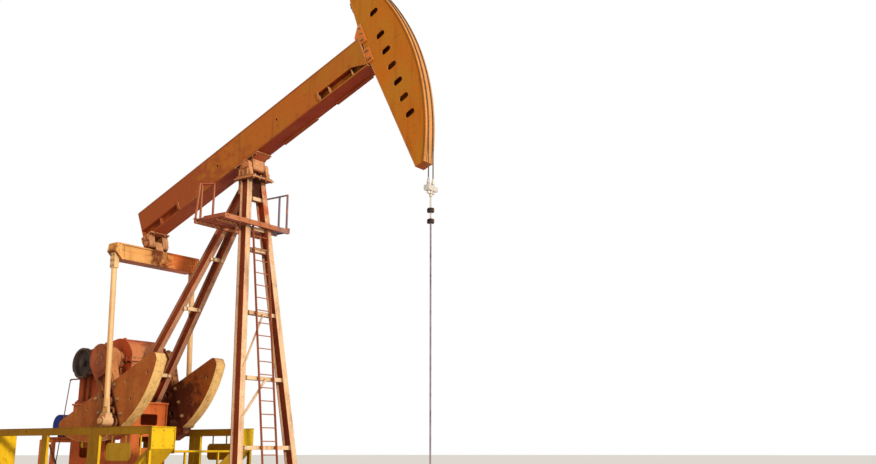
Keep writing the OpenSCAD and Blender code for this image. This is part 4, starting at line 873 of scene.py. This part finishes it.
def dress_equalizer():
    low = EQ_TOP - EQ_D
    blocks = []
    for x in (-1, 1):
        for y in (0.16, 0.98):
            blocks += both_sides([(min(x * EQ_HW, x * (EQ_HW + 0.012)), max(x * EQ_HW, x * (EQ_HW + 0.012)), y - 0.007, y + 0.007, low + 0.06, EQ_TOP - 0.02)])
        blocks.append((min(x * EQ_HW, x * (EQ_HW + 0.01)), max(x * EQ_HW, x * (EQ_HW + 0.01)), -1.1, 1.1, EQ_TOP - 0.03, EQ_TOP - 0.008))
        blocks.append((min(x * EQ_HW, x * (EQ_HW + 0.01)), max(x * EQ_HW, x * (EQ_HW + 0.01)), -0.98, 0.98, low + 0.004, low + 0.026))
    panel("equalizer_ribs", "equalizer", "equalizer_paint", blocks, place=IN_PITMAN)
    turn = IN_PITMAN.to_3x3()
    spots = []
    for x in (-0.11, 0.11):
        for y in (-0.07, 0.07):
            spots.append((at_pitman(x, y, EQ_TOP - 0.0), turn @ Vector((0, 0, 1)), 0.036))
    for side in (-1, 1):
        for x in (-0.045, 0.045):
            for z in (low - 0.14, low - 0.02, low + 0.1):
                spots.append((at_pitman(x, side * (PITMAN_Y + 0.06), z), turn @ Vector((0, side, 0)), 0.034))
    bolts("equalizer_bolts", "equalizer", spots)


def dress_wrists():
    turn = PITMAN_FOOT.to_3x3()
    spots, dark = [], []
    bm = bmesh.new()
    for side in (-1, 1):
        face = PITMAN_FOOT @ Vector((0, side * WRIST_OUT, 0))
        spots += ring(face, (0, side, 0), 0.084, 8, 0.024)
        turned(bm, face, (0, side, 0), [(0, 0.066), (0.014, 0.066), (0.03, 0.05), (0.034, 0.04)], 40)
        turned(bm, PITMAN_FOOT @ Vector((0, side * (PITMAN_Y - 0.03), 0.0)), (0, side, 0), [(0, WRIST_R + 0.005), (0.02, WRIST_R + 0.005), (0.022, WRIST_R + 0.002)], 48)
        for x in (-0.082, 0.082):
            for y in (-0.055, 0.055):
                spots.append((PITMAN_FOOT @ Vector((x, side * PITMAN_Y + y, WRIST_H + 0.0263)), turn @ Vector((0, 0, 1)), 0.03))
    finish_bmesh("wrist_covers", bm, FINISH["wrist_steel"], "equalizer", 0.002)
    bolts("wrist_bolts", "equalizer", spots)


# Cranks and weights.

def dress_cranks():
    turn = IN_CRANK.to_3x3()
    out = CRANK_Y + CRANK_T / 2
    spots = []
    bm = bmesh.new()
    seams = []
    for side in (-1, 1):
        # end cap and locking plate of the slow shaft, and the bolts that clamp the hub
        turned(bm, (-CRANK_X, side * (out + 0.018), CRANK_Z), (0, side, 0), [(-0.01, 0.1), (0.004, 0.1), (0.007, 0.092)], 40)
        for x in (-0.3, -0.19):
            spots.append((at_crank(x, side * (CRANK_Y - 0.03), 0.283 if x > -0.25 else 0.162), turn @ Vector((0, 0, 1)), 0.07))
            spots.append((at_crank(x, side * (CRANK_Y - 0.03), -0.283 if x > -0.25 else -0.162), turn @ Vector((0, 0, -1)), 0.07))
        # nut of the wrist pin and its washer
        inner = side * (CRANK_Y - CRANK_T / 2 - 0.06)
        turned(bm, at_crank(CRANK_R, inner, 0), (0, -side, 0), [(0, 0.085), (0.012, 0.085)], 32)
        turned(bm, at_crank(CRANK_R, inner - side * 0.012, 0), (0, -side, 0), [(0, 0.07), (0.055, 0.07), (0.062, 0.06)], 6)
        # heads of the bolts that hold the weights on the crank's edges
        for m in (-1, 1):
            for x in (0.80, 1.14, 1.48):
                spots.append((at_crank(x, side * (CRANK_Y - WEIGHT_T / 2 - 0.0), m * 0.33), turn @ Vector((0, -side, 0)), 0.075))
                spots.append((at_crank(x, side * (CRANK_Y + WEIGHT_T / 2), m * 0.33), turn @ Vector((0, side, 0)), 0.075))
            # moving rack along the crank's edge
            block(bm, 0.45, 0.68, side * CRANK_Y - 0.07, side * CRANK_Y + 0.07, m * 0.252 if m > 0 else m * 0.27, m * 0.27 if m > 0 else m * 0.252, turn=IN_CRANK)
    finish_bmesh("crank_fittings", bm, FINISH["crank_paint"], "cranks", 0.003)
    bolts("crank_bolts", "cranks", spots)


# Gearbox.

def dress_gearbox():
    split_y, split_x0, split_x1 = CASE_HW + 0.022, -FAST_X - 0.34, -CRANK_X + 0.5
    spots = []
    for k in range(12):
        x = split_x0 + (split_x1 - split_x0) * k / 11
        if abs(x + CRANK_X) < 0.24 or abs(x + FAST_X) < 0.14:
            continue
        for side in (-1, 1):
            spots.append((Vector((x, side * split_y, CRANK_Z + 0.032)), (0, 0, 1), 0.036))
            spots.append((Vector((x, side * split_y, CRANK_Z - 0.032)), (0, 0, -1), 0.036))
    for x in (split_x0 - 0.03, split_x1 + 0.02):
        for y in (-0.36, -0.18, 0, 0.18, 0.36):
            spots.append((Vector((x, y, CRANK_Z + 0.032)), (0, 0, 1), 0.036))
    for x in (-FAST_X - 0.36, -CRANK_X + 0.11):
        for y in (-0.44, -0.3, 0.3, 0.44):
            spots.append((Vector((x, y, STAND_Z + 0.05)), (0, 0, 1), 0.046))
    for side in (-1, 1):
        spots += ring((-CRANK_X, side * 0.54, CRANK_Z), (0, side, 0), 0.205, 12, 0.034, 0.13)
        spots += ring((-FAST_X, side * 0.49, FAST_Z), (0, side, 0), 0.105, 8, 0.024)
        spots += ring((-CRANK_X - 0.59, side * 0.51, FAST_Z), (0, side, 0), 0.125, 8, 0.026)
    for x in (-CRANK_X - 0.73, -CRANK_X - 0.43):
        for y in (-0.17, 0, 0.17):
            spots.append((Vector((x, y, CRANK_Z + 0.47)), (0, 0, 1), 0.026))
    bolts("gearbox_bolts", "post", spots)
    bm = bmesh.new()
    for side in (-1, 1):
        # ribs from the bearings down to the foot, and round covers
        for x in (-CRANK_X - 0.16, -CRANK_X + 0.16, -FAST_X - 0.1, -FAST_X + 0.1):
            block(bm, x - 0.012, x + 0.012, min(side * 0.448, side * 0.51), max(side * 0.448, side * 0.51), STAND_Z + 0.05, CRANK_Z - 0.17)
        turned(bm, (-FAST_X, side * 0.49, FAST_Z), (0, side, 0), [(0, 0.085), (0.01, 0.085), (0.016, 0.06)], 32)
        turned(bm, (-CRANK_X - 0.59, side * 0.51, FAST_Z), (0, side, 0), [(0, 0.1), (0.012, 0.1), (0.03, 0.05), (0.034, 0.02)], 32)
    # breather, oil level sight and drain
    turned(bm, (-CRANK_X - 0.5, 0.08, CRANK_Z + 0.47), (0, 0, 1), [(0, 0.03), (0.03, 0.03), (0.032, 0.016), (0.08, 0.016), (0.082, 0.04), (0.12, 0.04), (0.13, 0.03)], 20)
    turned(bm, (-CRANK_X - 0.3, -0.45, STAND_Z + 0.26), (0, -1, 0), [(0, 0.05), (0.02, 0.05), (0.022, 0.036), (0.036, 0.03)], 24)
    turned(bm, (-CRANK_X - 0.75, -0.45, STAND_Z + 0.11), (0, -1, 0), [(0, 0.03), (0.05, 0.03), (0.052, 0.022), (0.08, 0.022)], 6)
    finish_bmesh("gearbox_fittings", bm, FINISH["gear_paint"], "post", 0.002)
    seams = []
    for y in (-0.482, 0.482):
        seams.append([(-FAST_X - 0.42, y, STAND_Z - 0.042), (-CRANK_X + 0.65, y, STAND_Z - 0.042)])
        for x in (-CRANK_X + 0.652, -FAST_X - 0.422):
            seams.append([(x, y, SKID_D + 0.03), (x, y, STAND_Z - 0.04)])
    welds("stand_welds", "post", seams, 0.007)
    spots = []
    for x in [-FAST_X - 0.45 + k * (FAST_X - CRANK_X + 1.13) / 8 for k in range(9)]:
        for y in (-0.52, 0.52):
            spots.append((Vector((x, y, SKID_D + 0.03)), (0, 0, 1), 0.04))
    bolts("stand_bolts", "post", spots)


# Legs, braces, platform and ladder.

def dress_post():
    spots = []
    for side in (-1, 1):
        for dx in (-0.14, 0.14):
            for dy in (-0.14, 0.14):
                spots.append((Vector((FOOT_X + dx, side * FOOT_Y + dy, SKID_D + 0.026)), (0, 0, 1), 0.046))
        for z in BRACE_Z:
            x, y = front_at(z)
            for dz in (-0.022, 0.02):
                spots.append((Vector((x + LEG_D / 2 - 0.014, side * (y - 0.105), z + dz)), (1, 0, 0), 0.03))
        for z in REAR_BRACE_Z:
            x, y = rear_at(z)
            for dz in (-0.02, 0.02):
                spots.append((Vector((x + 0.1 + 0.012 + 0.032, side * max(0.02, y - 0.09), z + dz)), (1, 0, 0), 0.03))
        for dx in (-0.11, 0.11):
            for dy in (-0.05, 0.05):
                spots.append((Vector((REAR_FOOT_X + dx, side * REAR_FOOT_Y + dy, STAND_Z + 0.026)), (0, 0, 1), 0.034))
    bolts("post_bolts", "post", spots)
    seams = []
    for side in (-1, 1):
        for k in (-0.17, 0.17):
            seams.append([(FOOT_X + k * 0.42, side * (FOOT_Y - 0.072), SKID_D + 0.028), (FOOT_X + k * 0.42, side * (FOOT_Y + 0.072), SKID_D + 0.028)])
        x, y = front_at(LEG_TOP - 0.02)
        seams.append([(x - 0.1, side * y - 0.08, LEG_TOP - 0.012), (x + 0.1, side * y - 0.08, LEG_TOP - 0.012)])
        seams.append([(x - 0.1, side * y + 0.08, LEG_TOP - 0.012), (x + 0.1, side * y + 0.08, LEG_TOP - 0.012)])
    welds("post_welds", "post", seams, 0.008)


def dress_platform():
    spots = []
    for y in [-1.08 + 0.031 + k * 0.122 for k in range(6)] + [0.8 - 0.031 - k * 0.122 for k in range(4)]:
        for x in (-0.57, -0.2, 0.31):
            spots.append((Vector((x, y, DECK_Z)), (0, 0, 1), 0.018))
    for x, y in ((-0.58, -1.063), (-0.58, -0.93), (-0.35, -0.8), (-0.45, 0.755), (0.05, 0.755), (0.29, 0.755)):
        for dx in (-0.035, 0.035):
            spots.append((Vector((x + dx, y, DECK_Z + 0.01)), (0, 0, 1), 0.02))
    for y in (-1.0, -0.7, -0.4, -0.1, 0.2, 0.5, 0.76):
        spots.append((Vector((0.34, y, DECK_Z - 0.03)), (1, 0, 0), 0.024))
    bolts("platform_bolts", "post", spots)
    blocks = []
    for x, y in ((-0.58, -1.063), (-0.58, -0.93), (-0.35, -0.8), (-0.45, 0.755), (0.05, 0.755), (0.29, 0.755)):
        blocks.append((x - 0.055, x + 0.055, y - 0.03, y + 0.03, DECK_Z, DECK_Z + 0.01))
    panel("post_shoes", "post", "deck_steel", blocks)


def dress_ladder():
    spots = []
    for side in (-1, 1):
        for z in BRACE_Z:
            if z < DECK_Z - 0.2:
                x, _ = front_at(z)
                spots.append((Vector((x + LEG_D / 2 + 0.045, side * 0.214, z)), (0, side, 0), 0.024))
    bolts("ladder_bolts", "post", spots)


# Drive.

def dress_drive():
    spots = []
    bm = bmesh.new()
    # motor: fan cowl with its grille, end shield bolts, lifting eye and terminal box lid
    y0 = -0.18
    for k in range(9):
        r = 0.04 + k * 0.021
        turned(bm, (-MOTOR_X, y0 - 0.001, MOTOR_Z), (0, -1, 0), [(0, r), (0.001 + (8 - k) * 0.0011, r)], 36)
    block(bm, -MOTOR_X - 0.02, -MOTOR_X + 0.02, 0.16, 0.22, MOTOR_Z + 0.22, MOTOR_Z + 0.28)
    block(bm, -MOTOR_X + 0.33, -MOTOR_X + 0.342, -0.066, 0.166, MOTOR_Z - 0.016, MOTOR_Z + 0.136)
    finish_bmesh("motor_fittings", bm, FINISH["motor_paint"], "post", 0.003)
    spots += ring((-MOTOR_X, 0.62 - 0.13, MOTOR_Z), (0, 1, 0), 0.19, 8, 0.026)
    for y in (-0.05, 0.15):
        for z in (0.0, 0.12):
            spots.append((Vector((-MOTOR_X + 0.342, y, MOTOR_Z + z)), (1, 0, 0), 0.016))
    for x in (-0.19, 0.19):
        for y in (0.0, 0.38):
            spots.append((Vector((-MOTOR_X + x, y, MOTOR_Z - 0.19)), (0, 0, 1), 0.04))
    bolts("motor_bolts", "post", spots, DARK_BOLT)
    spots = []
    for x in (-MOTOR_X - 0.22, -MOTOR_X + 0.22):
        for y in (-0.44, 0.44):
            for d in (-0.025, 0.025):
                spots.append((Vector((x + d, y, SKID_D + 0.06)), (0, 0, 1), 0.026))
    bolts("motor_stand_bolts", "post", spots)
    # nuts of the sheave's hub
    spots = ring((-FAST_X, 0.62 + 0.06, FAST_Z), (0, 1, 0), 0.066, 6, 0.024)
    bolts("sheave_bolts", "fast_shaft", spots, DARK_BOLT)
    # brake: rivets of the lining
    spots = []
    for k in range(22):
        a = radians(20 + k * 14)
        if 3.4 < a % (2 * pi) < 4.2:
            continue
        for y in (-0.65, -0.59):
            spots.append((Vector((-FAST_X + 0.35 * cos(a), y, FAST_Z + 0.35 * sin(a))), (cos(a), 0, sin(a)), 0.014))
    bolts("brake_rivets", "post", spots, DARK_BOLT)


# Guards.

def dress_guards():
    spots = []
    for side in (-1, 1):
        out = side * GUARD_Y
        for x in [-6.65 + k * 0.42 for k in range(14)]:
            spots.append((Vector((x, out, GUARD_Z - 0.05)), (0, side, 0), 0.02))
            if x < -1.75:
                spots.append((Vector((x, out, SKID_D + 0.14)), (0, side, 0), 0.02))
        for z in (0.55, 0.95, 1.35):
            for x in (-6.65, -4.68, -2.9, -3.05):
                spots.append((Vector((x, out, z)), (0, side, 0), 0.02))
        for y in (0.85, 1.1, 1.35):
            for z in (1.3, 1.6):
                spots.append((Vector((-1.1, side * y, z)), (1, 0, 0), 0.018))
    bolts("guard_bolts", "post", spots)
    blocks = []
    for x in (-4.78, -3.13, -1.45):
        blocks.append((x - 0.012, x + 0.012, GUARD_Y - 0.045, GUARD_Y - 0.015, SKID_D + 0.19, GUARD_Z - 0.15))
    blocks.append((-6.7, -1.1, GUARD_Y - 0.01, GUARD_Y + 0.006, GUARD_Z - 0.006, GUARD_Z + 0.008))
    # folded edge of the front end sheet
    blocks.append((-1.1, -1.088, 0.8, GUARD_Y, GUARD_Z - 0.02, GUARD_Z + 0.0))
    blocks.append((-1.1, -1.085, 0.8, 0.82, GUARD_Z - 0.44, GUARD_Z))
    panel("guard_edges", "post", "guard_paint", both_sides(blocks))


# Skid.

def dress_skid():
    spots = []
    for x in (-6.62, -5.75, -4.9, -3.15, -1.18, 0.0, FOOT_X):
        for side in (-1, 1):
            for dx in (-0.06, 0.06):
                spots.append((Vector((x + dx, side * 0.56, SKID_D)), (0, 0, 1), 0.032))
    for x in (-1.18, -6.62):
        for side in (-1, 1):
            for dx in (-0.06, 0.06):
                spots.append((Vector((x + dx, side * 1.3, SKID_D)), (0, 0, 1), 0.026))
    bolts("skid_bolts", "post", spots)
    blocks = []
    for x in (-6.9, -5.3, -4.2, -2.4, -0.5, 0.35, 1.05):
        for side in (-1, 1):
            lo, hi = side * 0.508, side * 0.596
            blocks.append((x - 0.006, x + 0.006, min(lo, hi), max(lo, hi), 0.024, SKID_D - 0.024))
    for side in (-1, 1):
        blocks.append((1.126, 1.136, side * 0.5 - 0.09, side * 0.5 + 0.09, 0.01, SKID_D - 0.01))
        blocks.append((-7.16, -7.15, side * 0.5 - 0.09, side * 0.5 + 0.09, 0.01, SKID_D - 0.01))
    panel("skid_stiffeners", "post", "skid_paint", blocks)


dress_saddle()
dress_head()
ropes()
hanging_parts()
dress_tail()
dress_equalizer()
dress_wrists()
dress_cranks()
dress_gearbox()
dress_post()
dress_platform()
dress_ladder()
dress_drive()
dress_guards()
dress_skid()


# Floor and light.

def set_stage():
    bm = bmesh.new()
    bm.faces.new([bm.verts.new((280 * cos(2 * pi * k / 96), 280 * sin(2 * pi * k / 96), -0.002)) for k in range(96)])
    mesh = bpy.data.meshes.new("floor")
    bm.to_mesh(mesh)
    bm.free()
    floor = bpy.data.objects.new("floor", mesh)
    bpy.context.scene.collection.objects.link(floor)
    t = Tree("pale_floor")
    t.link(t.mix(t.noise(0.4, 4), linear((238, 235, 230)), linear((243, 240, 235))), t.shader.inputs["Base Color"])
    t.shader.inputs["Roughness"].default_value = 0.9
    floor.data.materials.append(t.material)
    sun = bpy.data.lights.new("key", "SUN")
    sun.energy = 2.5
    sun.angle = radians(6)
    sun.color = (1.0, 0.93, 0.84)
    key = bpy.data.objects.new("key", sun)
    bpy.context.scene.collection.objects.link(key)
    key.rotation_euler = Vector((cos(radians(19)), -sin(radians(19)), 0.26)).to_track_quat("Z", "Y").to_euler()
    overhead = bpy.data.lights.new("overhead", "SUN")
    overhead.energy = 1.0
    overhead.angle = radians(60)
    top = bpy.data.objects.new("overhead", overhead)
    bpy.context.scene.collection.objects.link(top)
    top.rotation_euler = Vector((0.25, -0.35, 1)).to_track_quat("Z", "Y").to_euler()
    world = bpy.context.scene.world or bpy.data.worlds.new("studio")
    bpy.context.scene.world = world
    world.use_nodes = True
    nodes, links = world.node_tree.nodes, world.node_tree.links
    nodes.clear()
    out = nodes.new("ShaderNodeOutputWorld")
    soft = nodes.new("ShaderNodeBackground")
    soft.inputs["Color"].default_value = (1.0, 0.97, 0.93, 1)
    soft.inputs["Strength"].default_value = 0.36
    white = nodes.new("ShaderNodeBackground")
    white.inputs["Color"].default_value = (1, 1, 1, 1)
    white.inputs["Strength"].default_value = 1.0
    ray = nodes.new("ShaderNodeLightPath")
    pick = nodes.new("ShaderNodeMixShader")
    links.new(ray.outputs["Is Camera Ray"], pick.inputs[0])
    links.new(soft.outputs[0], pick.inputs[1])
    links.new(white.outputs[0], pick.inputs[2])
    links.new(pick.outputs[0], out.inputs["Surface"])


set_stage()
bpy.context.scene.view_settings.view_transform = "Standard"
